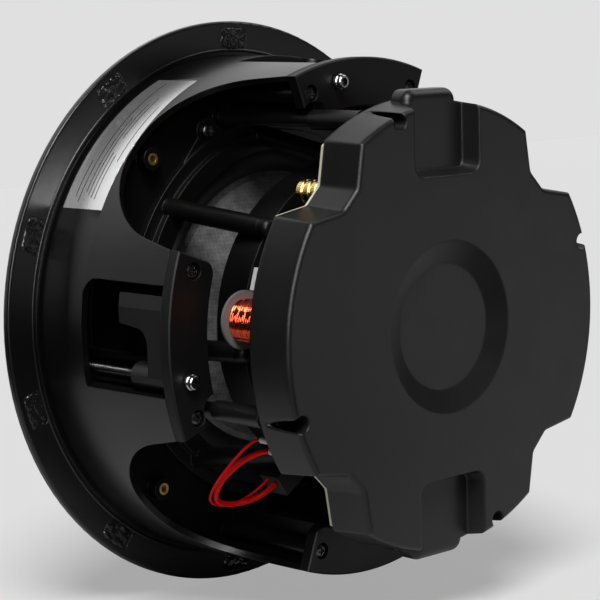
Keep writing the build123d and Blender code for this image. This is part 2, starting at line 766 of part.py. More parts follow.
def surround():
    """Half-roll surround, from the cone's lip to its flange on the basket."""
    back = BAFFLE_BACK
    front = back - SURROUND_THICKNESS
    crest = back - SURROUND_HEIGHT
    middle = CONE_RADIUS + SURROUND_WIDTH / 2
    shoulder = SURROUND_WIDTH / 4
    wall = SURROUND_THICKNESS
    return turned(
        (CONE_RADIUS - CONE_LIP, back),
        (CONE_RADIUS - CONE_LIP, front),
        (CONE_RADIUS, front),
        (middle - shoulder, crest),
        (middle + shoulder, crest),
        (roll_outer, front),
        (roll_outer + SURROUND_FLANGE, front),
        (roll_outer + SURROUND_FLANGE, back),
        (roll_outer - wall / 2, back),
        (middle + shoulder - wall / 2, crest + wall),
        (middle - shoulder + wall / 2, crest + wall),
        (CONE_RADIUS + wall / 2, back),
    )


def cone_side(raised):
    """Points along one side of the flared cone, from its lip to its neck."""
    lip = CONE_RADIUS - CONE_LIP
    neck = former_outer + GLUE_GAP
    points = []
    for step in range(CONE_BANDS + 1):
        share = step / CONE_BANDS
        flare = 4 * CONE_FLARE * share * (1 - share)
        height = cone_edge + share * CONE_DEPTH - flare + raised
        points.append((lip + share * (neck - lip) - flare, height))
    return points


def cone():
    """Flared cone with a flat lip at its edge and a neck on the voice coil."""
    back = reversed(cone_side(CONE_THICKNESS))
    lip = [(CONE_RADIUS, cone_edge + CONE_THICKNESS), (CONE_RADIUS, cone_edge)]
    return turned(*cone_side(0), *back, *lip)


def spider():
    """Corrugated spider between the voice coil and its seat on the cup."""
    inner = former_outer + GLUE_GAP
    seat = cup_radius - SPIDER_SEAT
    outer = cup_radius - CUP_WALL
    back = cup_front
    front = back - SPIDER_THICKNESS
    step = (seat - inner) / (2 * SPIDER_WAVE_COUNT)
    heights = [0 if count % 2 == 0 else -SPIDER_WAVE for count in range(2 * SPIDER_WAVE_COUNT)]
    crest = [(inner + step * count, height) for count, height in enumerate(heights)]
    near_side = [(radius, front + height) for radius, height in crest]
    far_side = [(radius, back + height) for radius, height in reversed(crest)]
    flat = [(seat, front), (outer, front), (outer, back), (seat, back)]
    return turned(*near_side, *flat, *far_side)


def voice_coil_former():
    return tube(COIL_RADIUS, former_outer, cone_neck, ferrite_front + FORMER_TAIL)


def voice_coil_winding():
    return tube(former_outer, winding_outer, basket_back - CONE_TRAVEL / 2, ferrite_front + CONE_TRAVEL / 2)


def top_plate():
    return tube(winding_outer + COIL_GAP, TOP_PLATE_RADIUS, basket_back, ferrite_front)


def ferrite_magnet():
    return tube(FERRITE_HOLE_RADIUS, FERRITE_RADIUS, ferrite_front, yoke_front)


def yoke():
    """Back plate and pole in one, bored for the tweeter's post."""
    bore = POST_TUBE_RADIUS + POST_TUBE_GAP
    return turned(
        (bore, basket_back - CUP_WALL),
        (pole_radius, basket_back - CUP_WALL),
        (pole_radius, yoke_front),
        (YOKE_RADIUS, yoke_front),
        (YOKE_RADIUS, yoke_back - YOKE_BEVEL),
        (YOKE_RADIUS - YOKE_BEVEL, yoke_back),
        (bore, yoke_back),
    )


# Tweeter
def tweeter_housing():
    """Round tweeter body with a dished front."""
    back = TWEETER_FRONT + TWEETER_DEPTH
    dish = TWEETER_FRONT + TWEETER_DISH
    return turned(
        (0, dish),
        (DOME_RADIUS + DOME_SEAT, dish),
        (TWEETER_RADIUS - TWEETER_RIM, TWEETER_FRONT),
        (TWEETER_RADIUS, TWEETER_FRONT),
        (TWEETER_RADIUS, back - TWEETER_DEPTH / 2),
        (TWEETER_BACK_RADIUS, back),
        (0, back),
    )


def tweeter_dome():
    """Soft dome in the housing's dish."""
    base = TWEETER_FRONT + TWEETER_DISH
    outline = [(0, base), (DOME_RADIUS, base)]
    for step in range(1, DOME_BANDS):
        turn = math.pi / 2 * step / DOME_BANDS
        outline.append((DOME_RADIUS * math.cos(turn), base - DOME_HEIGHT * math.sin(turn)))
    outline.append((0, base - DOME_HEIGHT))
    return turned(*outline)


def tweeter_post():
    return rod(POST_TUBE_RADIUS, TWEETER_FRONT + TWEETER_DEPTH, yoke_back + NUT_HEIGHT)


def tweeter_nut():
    nut = extrude(RegularPolygon(NUT_RADIUS, 6) - Circle(POST_TUBE_RADIUS), NUT_HEIGHT)
    return Pos(0, 0, yoke_back) * nut


# Posts, board and components
def cover_posts():
    """Stepped posts from the baffle to the board."""
    step = pad_back() + POST_SLIM_LENGTH
    post = turned(
        (0, pad_back() - SPIGOT_LENGTH),
        (SPIGOT_RADIUS, pad_back() - SPIGOT_LENGTH),
        (SPIGOT_RADIUS, pad_back()),
        (POST_SLIM_RADIUS, pad_back()),
        (POST_SLIM_RADIUS, step),
        (POST_RADIUS, step),
        (POST_RADIUS, board_front),
        (0, board_front),
    )
    hole = rod(SCREW_RADIUS + SCREW_GAP, cover_screw_seat() - SCREW_LENGTH, board_front + OVERRUN)
    return [at(post_circle, arm + POST_ANGLE) * (post - hole) for arm in ARM_ANGLES]


def cover_screw_seat():
    """Height of the floor of the cover's round notches, under the screws' heads."""
    return cover_front + COVER_TAB_HEIGHT


def cover_screws():
    places = [at(post_circle, arm + POST_ANGLE, cover_screw_seat()) for arm in ARM_ANGLES]
    return [place * pan_screw(SCREW_LENGTH) for place in places]


def notched_disc(radius):
    """The outline that the cover and the board share: a disc with four open notches."""
    floor = radius - NOTCH_DEPTH
    half = NOTCH_FLOOR_WIDTH / 2
    reach = 2 * NOTCH_DEPTH
    mouth = half + reach * math.tan(math.radians(NOTCH_SIDE_ANGLE))
    notch = make_face(
        Polyline((floor, -half), (floor + reach, -mouth), (floor + reach, mouth), (floor, half), close=True)
    )
    plan = Circle(radius) - around(notch, WINDOW_ANGLES)
    return fillet(plan.vertices(), COVER_CORNER)


def crossover_board():
    plan = notched_disc(cover_radius - BOARD_INSET) & Circle(cover_radius - BOARD_MARGIN)
    for arm in ARM_ANGLES:
        plan -= at(post_circle, arm + POST_ANGLE) * Circle(SCREW_RADIUS + SCREW_GAP)
    return Pos(0, 0, board_front) * extrude(plan, BOARD_THICKNESS)


def inductor_bobbins():
    front = board_front - INDUCTOR_LENGTH
    flange = INDUCTOR_FLANGE_THICKNESS
    spool = turned(
        (0, front),
        (INDUCTOR_FLANGE_RADIUS, front),
        (INDUCTOR_FLANGE_RADIUS, front + flange),
        (INDUCTOR_CORE_RADIUS, front + flange),
        (INDUCTOR_CORE_RADIUS, board_front - flange),
        (INDUCTOR_FLANGE_RADIUS, board_front - flange),
        (INDUCTOR_FLANGE_RADIUS, board_front),
        (0, board_front),
    )
    return [at(post_circle - INDUCTOR_INSET, angle) * spool for angle in INDUCTOR_ANGLES]


def inductor_windings():
    flange = INDUCTOR_FLANGE_THICKNESS
    low = board_front - INDUCTOR_LENGTH + flange
    coil = tube(INDUCTOR_CORE_RADIUS, INDUCTOR_WINDING_RADIUS, low, board_front - flange)
    return [at(post_circle - INDUCTOR_INSET, angle) * coil for angle in INDUCTOR_ANGLES]


def capacitors():
    """Round capacitors that lie on the board."""
    can = extrude(Plane.XZ * Circle(CAPACITOR_RADIUS), CAPACITOR_LENGTH / 2, both=True)
    can = chamfer(can.edges(), CAPACITOR_BEVEL)
    height = board_front - CAPACITOR_RADIUS
    return [facing(post_circle - CAPACITOR_INSET, angle, height) * can for angle in CAPACITOR_ANGLES]


def resistors():
    """Cement resistors that stand on two legs each."""
    half_width = RESISTOR_WIDTH / 2
    half_length = RESISTOR_LENGTH / 2
    back = board_front - RESISTOR_STANDOFF
    body = block(-half_width, half_width, -half_length, half_length, back - RESISTOR_HEIGHT, back)
    for side in (-1, 1):
        leg = rod(RESISTOR_LEG_RADIUS, back - OVERRUN, board_front)
        body += Pos(0, side * RESISTOR_LEG_SPACING / 2, 0) * leg
    return [facing(post_circle - RESISTOR_INSET, angle) * body for angle in RESISTOR_ANGLES]


def binding_posts():
    """Gilt binding posts with collars, their roots in bushes on the board."""
    root = board_front - BINDING_BUSH_HEIGHT
    pitch = BINDING_LENGTH / (2 * BINDING_COLLARS - 1)
    outline = [(0, root)]
    for count in range(2 * BINDING_COLLARS - 1):
        radius = BINDING_RADIUS if count % 2 == 0 else BINDING_NECK_RADIUS
        outline.append((radius, root - pitch * count))
        outline.append((radius, root - pitch * (count + 1)))
    outline.append((0, root - BINDING_LENGTH))
    post = turned(*outline)
    return [at(post_circle - BINDING_INSET, angle) * post for angle in BINDING_ANGLES]


def binding_bushes():
    bush = rod(BINDING_BUSH_RADIUS, board_front - BINDING_BUSH_HEIGHT, board_front)
    return [at(post_circle - BINDING_INSET, angle) * bush for angle in BINDING_ANGLES]


# Leads
def lead_sleeves():
    """White sleeves that join the leads to the board."""
    depth = SLEEVE_DEPTH / 2
    width = SLEEVE_WIDTH / 2
    body = block(-depth, depth, -width, width, sleeve_front, board_front)
    return [facing(post_circle + outside, angle) * body for angle, outside in LEAD_SLEEVES.values()]


def lead_points(name):
    """The corners of a lead's route, straight out of its sleeve and straight into the terminal."""
    sleeve_angle, sleeve_outside = LEAD_SLEEVES[name]
    along, height = LEAD_TAGS[name]
    places = [at(post_circle + sleeve_outside, sleeve_angle, sleeve_front)]
    places.append(places[0] * Pos(0, 0, -LEAD_RUN_OUT))
    for outside, angle, share in LEAD_POINTS[name]:
        places.append(at(post_circle + outside, angle, basket_back + share * (board_front - basket_back)))
    for run in (LEAD_RUN_IN, 0):
        tag = Pos(terminal_face + run, TERMINAL_OFFSET + along, terminal_middle + height)
        places.append(Rot(0, 0, TERMINAL_ANGLE) * tag)
    return [place.position for place in places]


def lead_path(corners):
    """Straight runs joined by arcs that are as large as their two runs allow."""
    runs = [end - start for start, end in zip(corners, corners[1:])]
    radii = []
    for before, after in zip(runs, runs[1:]):
        half_turn = math.radians(before.get_angle(after)) / 2
        radii.append(LEAD_BEND_SHARE * min(before.length, after.length) / math.tan(half_turn))
    return FilletPolyline(*corners, radius=radii), radii


def lead(name):
    """One lead as a plain tube along its route."""
    path, radii = lead_path(lead_points(name))
    body = sweep(Plane(path @ 0, z_dir=path % 0) * Circle(LEAD_RADII[name]), path=path)
    expected = math.pi * LEAD_RADII[name] ** 2 * path.length
    print(name, "length", round(path.length, 1), "bends", [round(radius, 1) for radius in radii])
    print(name, "volume over section times length", round(body.volume / expected, 4))
    return body


# Back cover
def cover_form(inset, low, high):
    """The drafted cover without its recesses, all its sides moved in by an inset."""
    rise = low - cover_front
    drawn = inset + rise * math.tan(math.radians(COVER_DRAFT))
    plan = offset(notched_disc(cover_radius), -drawn) if drawn else notched_disc(cover_radius)
    return Pos(0, 0, low) * extrude(plan, high - low, taper=COVER_DRAFT)


def rim_pocket(grown):
    """The cutter for one rim pocket on the +X side, or its wall if grown by the wall's thickness."""
    inner = cover_radius - RIM_POCKET_LENGTH
    depth = RIM_POCKET_DEPTH + grown
    width = 2 * (RIM_POCKET_HALF_WIDTH + grown)
    length = 2 * RIM_POCKET_LENGTH
    mouth = RectangleRounded(length, width, RIM_POCKET_CORNER)
    place = Plane(origin=(inner - grown + length / 2, 0, cover_back), z_dir=(0, 0, -1))
    return extrude(place * mouth, depth, taper=RIM_POCKET_DRAFT)


def rim_lip():
    """The rounded lip that carries a rim pocket's floor past the cover's side, on the +X side."""
    floor = cover_back - RIM_POCKET_DEPTH
    plan = RectangleRounded(RIM_POCKET_LENGTH, 2 * RIM_LIP_HALF_WIDTH, RIM_LIP_CORNER)
    middle = cover_radius + RIM_LIP_REACH - RIM_POCKET_LENGTH / 2
    lip = Pos(middle, 0, floor - RIM_LIP_HEIGHT) * extrude(plan, RIM_LIP_HEIGHT)
    return fillet(lip.edges().group_by(Axis.Z)[-1], RIM_LIP_ROUND)


def dish(grown):
    """The cutter for the central dish, or its wall if grown by the wall's thickness."""
    return turned(
        (0, cover_back),
        (DISH_RADIUS + grown, cover_back),
        (DISH_FLOOR_RADIUS + grown, cover_back - DISH_DEPTH - grown),
        (0, cover_back - DISH_DEPTH - grown),
    )


def screw_notch(grown):
    """The cutter for one round screw notch, or its wall if grown by the wall's thickness."""
    low = cover_screw_seat() - (COVER_TAB_HEIGHT + OVERRUN if grown else 0)
    return at(post_circle, POST_ANGLE) * rod(SCREW_NOTCH_RADIUS + grown, low, cover_back + OVERRUN)


def back_cover():
    """Moulded cover: drafted shell with notches, rim pockets, a central dish and screw tabs."""
    shell = cover_form(0, cover_front, cover_back)
    shell = fillet(shell.edges().group_by(Axis.Z)[-1], COVER_EDGE_ROUND)
    shell += around(rim_lip(), RIM_POCKET_ANGLES)
    hollow = cover_form(COVER_WALL, cover_front, cover_back - COVER_WALL)
    hollow -= [dish(COVER_WALL)]
    hollow -= around(rim_pocket(COVER_WALL), RIM_POCKET_ANGLES)
    hollow -= around(screw_notch(COVER_WALL), ARM_ANGLES)
    cuts = [hollow, dish(0)]
    cuts += around(rim_pocket(0), RIM_POCKET_ANGLES)
    cuts += around(screw_notch(0), ARM_ANGLES)
    hole = rod(SCREW_RADIUS + SCREW_GAP, cover_front - OVERRUN, cover_back)
    cuts += [at(post_circle, arm + POST_ANGLE) * hole for arm in ARM_ANGLES]
    return shell - cuts


# Every piece under its name
nodes = {
    "frame": frame(),
    "cap_screws": cap_screws(),
    "brass_inserts": brass_inserts(),
    "grille_magnets": grille_magnets(),
    "magnet_covers": magnet_covers(),
    "rating_label": rating_label(),
    "woofer_basket": woofer_basket(),
    "basket_screws": basket_screws(),
    "woofer_terminal": woofer_terminal(),
    "surround": surround(),
    "cone": cone(),
    "spider": spider(),
    "voice_coil_former": voice_coil_former(),
    "voice_coil_winding": voice_coil_winding(),
    "top_plate": top_plate(),
    "ferrite_magnet": ferrite_magnet(),
    "yoke": yoke(),
    "tweeter_housing": tweeter_housing(),
    "tweeter_dome": tweeter_dome(),
    "tweeter_post": tweeter_post(),
    "tweeter_nut": tweeter_nut(),
    "cover_posts": cover_posts(),
    "cover_screws": cover_screws(),
    "crossover_board": crossover_board(),
    "inductor_bobbins": inductor_bobbins(),
    "inductor_windings": inductor_windings(),
    "capacitors": capacitors(),
    "resistors": resistors(),
    "binding_posts": binding_posts(),
    "binding_bushes": binding_bushes(),
    "lead_sleeves": lead_sleeves(),
    "back_cover": back_cover(),
}
for name in LEAD_RADII:
    nodes[name] = lead(name)
for number, arm in enumerate(ARM_ANGLES, start=1):
    nodes[f"clamp_cap_{number}"] = Rot(0, 0, arm) * clamp_cap()
    nodes[f"clamp_screw_{number}"] = Rot(0, 0, arm) * clamp_screw()
    nodes[f"clamp_{number}"] = Rot(0, 0, arm) * clamp()

os.makedirs("parts", exist_ok=True)
for name, shape in nodes.items():
    solids = shape if isinstance(shape, list) else [shape]
    pieces = [solid for piece in solids for solid in piece.solids()]
    export_step(pieces[0] if len(pieces) == 1 else Compound(children=pieces), f"parts/{name}.step")
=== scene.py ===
import math

import bmesh
import bpy
import numpy as np
from mathutils import Matrix, Vector, noise


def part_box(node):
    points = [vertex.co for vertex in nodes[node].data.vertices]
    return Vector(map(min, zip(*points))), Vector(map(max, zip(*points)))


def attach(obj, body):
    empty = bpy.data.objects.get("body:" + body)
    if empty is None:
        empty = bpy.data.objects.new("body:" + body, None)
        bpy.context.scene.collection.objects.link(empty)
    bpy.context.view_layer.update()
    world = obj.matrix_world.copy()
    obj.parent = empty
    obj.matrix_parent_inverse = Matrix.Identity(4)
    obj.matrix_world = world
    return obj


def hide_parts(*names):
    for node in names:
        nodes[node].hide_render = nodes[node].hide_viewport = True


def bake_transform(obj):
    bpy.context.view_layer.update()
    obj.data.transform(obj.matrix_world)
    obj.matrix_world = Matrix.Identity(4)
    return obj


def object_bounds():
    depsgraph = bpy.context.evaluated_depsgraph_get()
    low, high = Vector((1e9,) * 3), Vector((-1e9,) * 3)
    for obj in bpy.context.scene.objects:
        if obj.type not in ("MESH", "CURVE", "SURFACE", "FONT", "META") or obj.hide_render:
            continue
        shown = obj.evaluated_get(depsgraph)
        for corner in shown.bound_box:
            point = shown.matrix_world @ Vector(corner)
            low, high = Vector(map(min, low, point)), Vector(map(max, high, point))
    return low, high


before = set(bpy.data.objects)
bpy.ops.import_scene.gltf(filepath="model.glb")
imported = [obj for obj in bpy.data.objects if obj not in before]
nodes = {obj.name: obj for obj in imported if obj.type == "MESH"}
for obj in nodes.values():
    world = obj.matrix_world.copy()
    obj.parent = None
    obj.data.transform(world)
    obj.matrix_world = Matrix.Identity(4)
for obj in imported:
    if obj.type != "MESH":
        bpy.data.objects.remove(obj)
cad_low, cad_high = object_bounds()

MM = 0.001
WELD = 1e-7
SMOOTH_ANGLE = math.radians(35)

# Camera, from the photograph's perspective
CAMERA_PLACE = Vector((-0.7185, 0.1424, 0.7981))
CAMERA_AIM = Vector((0.0013, 0.0045, 0.0461))
CAMERA_ROLL = math.radians(-1.41)
CAMERA_LENS = 129.3
CAMERA_SENSOR = 36.0

# Studio: the speaker stands on the edge of its flange, so that its floor lies across Y
FLOOR_LEFT = -0.3
FLOOR_FRONT = 0.3
STUDIO_SIZE = 5.0
WALL_LEFT = -1.8
WALL_DISTANCE = 2.2
BACKDROP_GREY = 0.745
FLOOR_GLOW = 0.37
FLOOR_SHADE = 0.495
FLOOR_BOUNCE = 0.65
WALL_BOUNCE = 0.15
WALL_MIRRORED = 1.0
WORLD_GLOW = 0.015
SUN_FROM = Vector((-0.40, 0.81, 0.44))
SUN_STRENGTH = 2.7
SUN_SPREAD = math.radians(24)

# Soft boxes, each with its place, aim, power, width and height
FILL_BOXES = {
    "rim": ((0.56, 0.01, 0.97), (0, 0, 0.1), 0.30, 0.5, 0.35),
    "side": ((1.02, -0.18, 0.9), (0, 0, 0.1), 0.42, 0.45, 0.35),
}
GLOSS_BOXES = {
    "sheen": ((-0.73, 0.42, 0.86), (0, 0, 0.08), 8.0, 0.85, 0.4),
    "crest": ((0.85, 0.95, 0.25), (0, 0, 0.1), 2.5, 0.8, 0.6),
}

# Leads: bends of each route in mm, from the sleeve on the board to the woofer's tag
LEAD_ROUTES = {
    "lead_1": [
        (-91.52, -41.52, 116.0),
        (-91.52, -41.52, 112.4),
        (-92.62, -51.34, 100.64),
        (-90.48, -67.19, 82.71),
        (-82.35, -78.97, 69.16),
        (-62.13, -84.27, 63.31),
        (-56.96, -76.1, 75.4),
        (-50.25, -71.74, 75.4),
    ],
    "lead_2": [
        (-86.15, -47.55, 116.0),
        (-86.15, -47.55, 112.4),
        (-88.72, -53.1, 100.64),
        (-87.67, -65.11, 84.17),
        (-79.81, -78.15, 70.26),
        (-63.59, -83.18, 66.6),
        (-55.43, -78.45, 78.0),
        (-48.72, -74.09, 78.0),
    ],
}
LEAD_DIAMETERS = {"lead_1": 1.3 * MM, "lead_2": 2.6 * MM}
LEAD_ROUNDNESS = 6
LEAD_STEPS = 16
LEAD_ORDER = 3


# Finishes

# Width of one band of a wave at a scale of 1
WAVE_LENGTH = 2 * math.pi / 20

# Values that all finishes of a kind share
NOISE_DETAIL = 3.0
EDGE_SAMPLES = 6
MOTTLE_GRAIN = 9 * MM
GLOSS_GRAIN = 14 * MM
GLOSS_SWING = 0.05
METAL_EDGE = 0.15 * MM
METAL_GRAIN = 2 * MM
METAL_SMOOTHER = 0.06
METAL_ROUGHER = 0.08
METAL_RELIEF = 0.01 * MM
WEAVE_RELIEF = 0.12 * MM


class Finish:
    """A slot's Principled material, built up from textures in the object's own coordinates."""

    def __init__(self, slot, color, roughness, metallic=0.0, sockets=None):
        self.tree = bpy.data.materials[slot].node_tree
        self.tree.nodes.clear()
        self.shader = self.add("ShaderNodeBsdfPrincipled")
        output = self.add("ShaderNodeOutputMaterial")
        self.tree.links.new(self.shader.outputs["BSDF"], output.inputs["Surface"])
        self.place = self.add("ShaderNodeTexCoord").outputs["Object"]
        self.shader.inputs["Base Color"].default_value = (*color, 1)
        self.shader.inputs["Roughness"].default_value = roughness
        self.shader.inputs["Metallic"].default_value = metallic
        for name, value in (sockets or {}).items():
            self.shader.inputs[name].default_value = value

    def add(self, kind, inputs=None, **settings):
        """A new node; each input is a number or another node's output."""
        node = self.tree.nodes.new(kind)
        for name, value in settings.items():
            setattr(node, name, value)
        for name, value in (inputs or {}).items():
            if isinstance(value, bpy.types.NodeSocket):
                self.tree.links.new(value, node.inputs[name])
            else:
                node.inputs[name].default_value = value
        return node

    def noise(self, grain):
        """Noise with grains of about that size in metres."""
        inputs = {"Vector": self.place, "Scale": 1 / grain, "Detail": NOISE_DETAIL}
        return self.add("ShaderNodeTexNoise", inputs).outputs["Fac"]

    def wave(self, direction, period):
        """Smooth bands across X, Y or Z, with a period in metres."""
        inputs = {"Vector": self.place, "Scale": WAVE_LENGTH / period}
        return self.add("ShaderNodeTexWave", inputs, bands_direction=direction).outputs["Fac"]

    def upward(self):
        """How far the surface faces along Z, from -1 to 1."""
        normal = self.add("ShaderNodeTexCoord").outputs["Normal"]
        return self.add("ShaderNodeSeparateXYZ", {"Vector": normal}).outputs["Z"]

    def level(self):
        """The place without its height."""
        inputs = {0: self.place, 1: (1, 1, 0)}
        return self.add("ShaderNodeVectorMath", inputs, operation="MULTIPLY").outputs[0]

    def outward(self):
        """How far the surface faces away from the Z axis, from -1 to 1."""
        away = self.add("ShaderNodeVectorMath", {0: self.level()}, operation="NORMALIZE")
        normal = self.add("ShaderNodeTexCoord").outputs["Normal"]
        inputs = {0: away.outputs[0], 1: normal}
        return self.add("ShaderNodeVectorMath", inputs, operation="DOT_PRODUCT").outputs["Value"]

    def reach(self):
        """Distance from the Z axis."""
        inputs = {0: self.level()}
        return self.add("ShaderNodeVectorMath", inputs, operation="LENGTH").outputs["Value"]

    def between(self, value, low, high, first, last):
        """The value's place between low and high, carried over to first and last."""
        inputs = {
            "Value": value,
            "From Min": low,
            "From Max": high,
            "To Min": first,
            "To Max": last,
        }
        return self.add("ShaderNodeMapRange", inputs).outputs["Result"]

    def drive(self, name, value):
        """Hands a value to one of the shader's inputs."""
        self.tree.links.new(value, self.shader.inputs[name])
        return self

    def math(self, operation, a, b):
        """The two values joined by one operation."""
        return self.add("ShaderNodeMath", {0: a, 1: b}, operation=operation).outputs[0]

    def color(self, share, dark, light):
        """Base colour that runs from dark to light with the share."""
        ramp = self.add("ShaderNodeValToRGB", {"Fac": share})
        ramp.color_ramp.elements[0].color = (*dark, 1)
        ramp.color_ramp.elements[1].color = (*light, 1)
        self.tree.links.new(ramp.outputs["Color"], self.shader.inputs["Base Color"])
        return self

    def roughness(self, share, low, high):
        """Roughness that runs from low to high with the share."""
        return self.drive("Roughness", self.between(share, 0, 1, low, high))

    def relief(self, height, depth):
        """Surface relief of a depth in metres, laid over the relief that is there."""
        bump = self.add("ShaderNodeBump", {"Height": height, "Distance": depth})
        self.tree.links.new(bump.outputs["Normal"], self.join(bump.inputs["Normal"]))
        return self

    def join(self, under):
        """Hands the shader's present normal on to a node's input and frees the shader's own."""
        normal = self.shader.inputs["Normal"]
        for link in normal.links:
            self.tree.links.new(link.from_socket, under)
        return normal

    def round_edges(self, radius):
        """Edges that catch the light as if rounded to a radius in metres."""
        bevel = self.add("ShaderNodeBevel", {"Radius": radius}, samples=EDGE_SAMPLES)
        self.tree.links.new(bevel.outputs["Normal"], self.join(bevel.inputs["Normal"]))
        return self


def grey(value):
    """A neutral colour."""
    return (value, value, value)


def moulded(slot, low, high, roughness, grain, depth, edge, gloss):
    """Moulded plastic: faint mottle, uneven gloss, a fine grain and soft edges."""
    made = Finish(slot, grey(low), roughness, sockets={"Specular IOR Level": gloss})
    made.round_edges(edge)
    made.color(made.noise(MOTTLE_GRAIN), grey(low), grey(high))
    made.roughness(made.noise(GLOSS_GRAIN), roughness - GLOSS_SWING, roughness + GLOSS_SWING)
    return made.relief(made.noise(grain), depth)


def bare_metal(slot, color, roughness, streak):
    """Bare metal with fine turning marks round the Z axis and uneven gloss."""
    made = Finish(slot, color, roughness, metallic=1.0)
    made.round_edges(METAL_EDGE)
    made.roughness(made.noise(METAL_GRAIN), roughness - METAL_SMOOTHER, roughness + METAL_ROUGHER)
    return made.relief(made.wave("Z", streak), METAL_RELIEF)


def cloth(slot, dark, light, pitch, roughness, gap, blotch):
    """Plain weave of threads along X and Y: dark gaps of a strength and blotches of a size."""
    made = Finish(slot, light, roughness)
    threads = made.math("MAXIMUM", made.wave("X", pitch), made.wave("Y", pitch))
    lit = made.between(threads, 0, 1, 1 - gap, 1)
    made.color(made.math("MULTIPLY", lit, made.noise(blotch)), dark, light)
    return made.relief(threads, gap * WEAVE_RELIEF)


# Mouldings: darkest and lightest grey, roughness, grain, its depth, edge radius and gloss
MOULDINGS = {
    "frame_plastic": (0.002, 0.003, 0.29, 0.5 * MM, 0.002 * MM, 0.6 * MM, 0.5),
    "cap_plastic": (0.002, 0.003, 0.48, 0.5 * MM, 0.004 * MM, 0.5 * MM, 0.3),
    "clamp_plastic": (0.007, 0.010, 0.40, 0.4 * MM, 0.02 * MM, 0.4 * MM, 0.5),
    "magnet_cover": (0.006, 0.010, 0.20, 0.8 * MM, 0.05 * MM, 0.2 * MM, 0.5),
    "basket_cast": (0.0015, 0.0025, 0.42, 0.35 * MM, 0.03 * MM, 0.8 * MM, 0.3),
    "terminal_plastic": (0.004, 0.006, 0.40, 0.4 * MM, 0.01 * MM, 0.3 * MM, 0.5),
    "surround_rubber": (0.012, 0.018, 0.58, 0.3 * MM, 0.02 * MM, 0.3 * MM, 0.5),
    "tweeter_plastic": (0.010, 0.016, 0.38, 0.4 * MM, 0.01 * MM, 0.4 * MM, 0.5),
    "post_metal": (0.0015, 0.0025, 0.42, 0.25 * MM, 0.02 * MM, 0.3 * MM, 0.5),
    "cover_plastic": (0.009, 0.012, 0.36, 0.22 * MM, 0.008 * MM, 1.6 * MM, 0.42),
    "plate_steel": (0.020, 0.030, 0.40, 0.3 * MM, 0.01 * MM, 0.4 * MM, 0.5),
    "ferrite": (0.030, 0.045, 0.55, 0.3 * MM, 0.03 * MM, 0.4 * MM, 0.5),
    "bobbin_plastic": (0.17, 0.21, 0.42, 0.8 * MM, 0.01 * MM, 0.3 * MM, 0.5),
    "resistor_cement": (0.62, 0.74, 0.80, 0.3 * MM, 0.05 * MM, 0.4 * MM, 0.5),
    "bush_plastic": (0.50, 0.58, 0.45, 0.4 * MM, 0.01 * MM, 0.2 * MM, 0.5),
    "sleeve_plastic": (0.50, 0.58, 0.45, 0.4 * MM, 0.01 * MM, 0.2 * MM, 0.5),
}

# Metals: colour, roughness and width of a turning mark
METALS = {
    "screw_black": (grey(0.11), 0.24, 0.3 * MM),
    "screw_zinc": ((0.50, 0.51, 0.53), 0.17, 0.3 * MM),
    "brass_insert": ((0.92, 0.64, 0.22), 0.36, 0.4 * MM),
    "post_gilt": ((0.90, 0.66, 0.27), 0.16, 0.3 * MM),
    "copper_wire": ((0.82, 0.11, 0.045), 0.13, 0.9 * MM),
    "magnet_steel": ((0.50, 0.50, 0.52), 0.30, 0.5 * MM),
    "former_film": ((0.55, 0.55, 0.56), 0.35, 0.5 * MM),
}

# Cloths: darkest and lightest colour, pitch of the threads, roughness, gap and blotch
CLOTHS = {
    "cone_weave": (grey(0.004), grey(0.21), 1.8 * MM, 0.55, 0.35, 4 * MM),
    "spider_cloth": ((0.20, 0.13, 0.05), (0.42, 0.30, 0.12), 0.9 * MM, 0.80, 0.9, 11 * MM),
    "dome_cloth": (grey(0.012), grey(0.045), 0.5 * MM, 0.60, 0.9, 11 * MM),
}

# The frame is matt inside the collar and polished outside it
POLISH_START = 119.6 * MM
POLISH_END = 120.0 * MM
POLISH_GLOSS = (0.12, 0.55)
POLISH_ROUGHNESS = (0.55, 0.29)
POLISH_FACING = (0.2, 0.5)

# Layers of a winding: width and depth of their swell, grain and depth of their unevenness
LAYER_WIDTH = 4.2 * MM
LAYER_DEPTH = 0.35 * MM
UNEVEN_GRAIN = 2.5 * MM
UNEVEN_DEPTH = 0.12 * MM


def polish_outside(made):
    """Polish on all that lies outside the collar or faces away from the axis."""
    outside = made.between(made.reach(), POLISH_START, POLISH_END, 0, 1)
    shown = made.math("MAXIMUM", outside, made.between(made.outward(), *POLISH_FACING, 0, 1))
    made.drive("Specular IOR Level", made.between(shown, 0, 1, *POLISH_GLOSS))
    made.roughness(shown, *POLISH_ROUGHNESS)


def lay_wires(made):
    """Swelling and uneven layers of a winding."""
    made.relief(made.wave("Z", LAYER_WIDTH), LAYER_DEPTH)
    made.relief(made.noise(UNEVEN_GRAIN), UNEVEN_DEPTH)


def finish_capacitors():
    """Glossy brown film."""
    film = Finish("capacitor_film", (0.45, 0.22, 0.03), 0.30, sockets={"Coat Weight": 0.4})
    film.color(film.noise(6 * MM), (0.36, 0.16, 0.02), (0.48, 0.25, 0.04))
    film.relief(film.wave("Z", 3 * MM), 0.03 * MM)


def finish_leads():
    """Red rubber sheath, nearly matt."""
    sheath = Finish("lead_red", (0.70, 0.003, 0.006), 0.42, sockets={"Specular IOR Level": 0.08})
    sheath.color(sheath.noise(3 * MM), (0.62, 0.002, 0.004), (0.78, 0.004, 0.008))
    sheath.relief(sheath.noise(0.5 * MM), 0.01 * MM)


def finish_board():
    """Black lacquer on both faces, with the pale laminate bare at the edges."""
    board = Finish("board_laminate", grey(0.65), 0.5)
    flatness = board.math("ABSOLUTE", board.upward(), 0)
    board.color(flatness, (0.84, 0.82, 0.67), (0.008, 0.010, 0.008))
    board.relief(board.noise(0.6 * MM), 0.01 * MM)


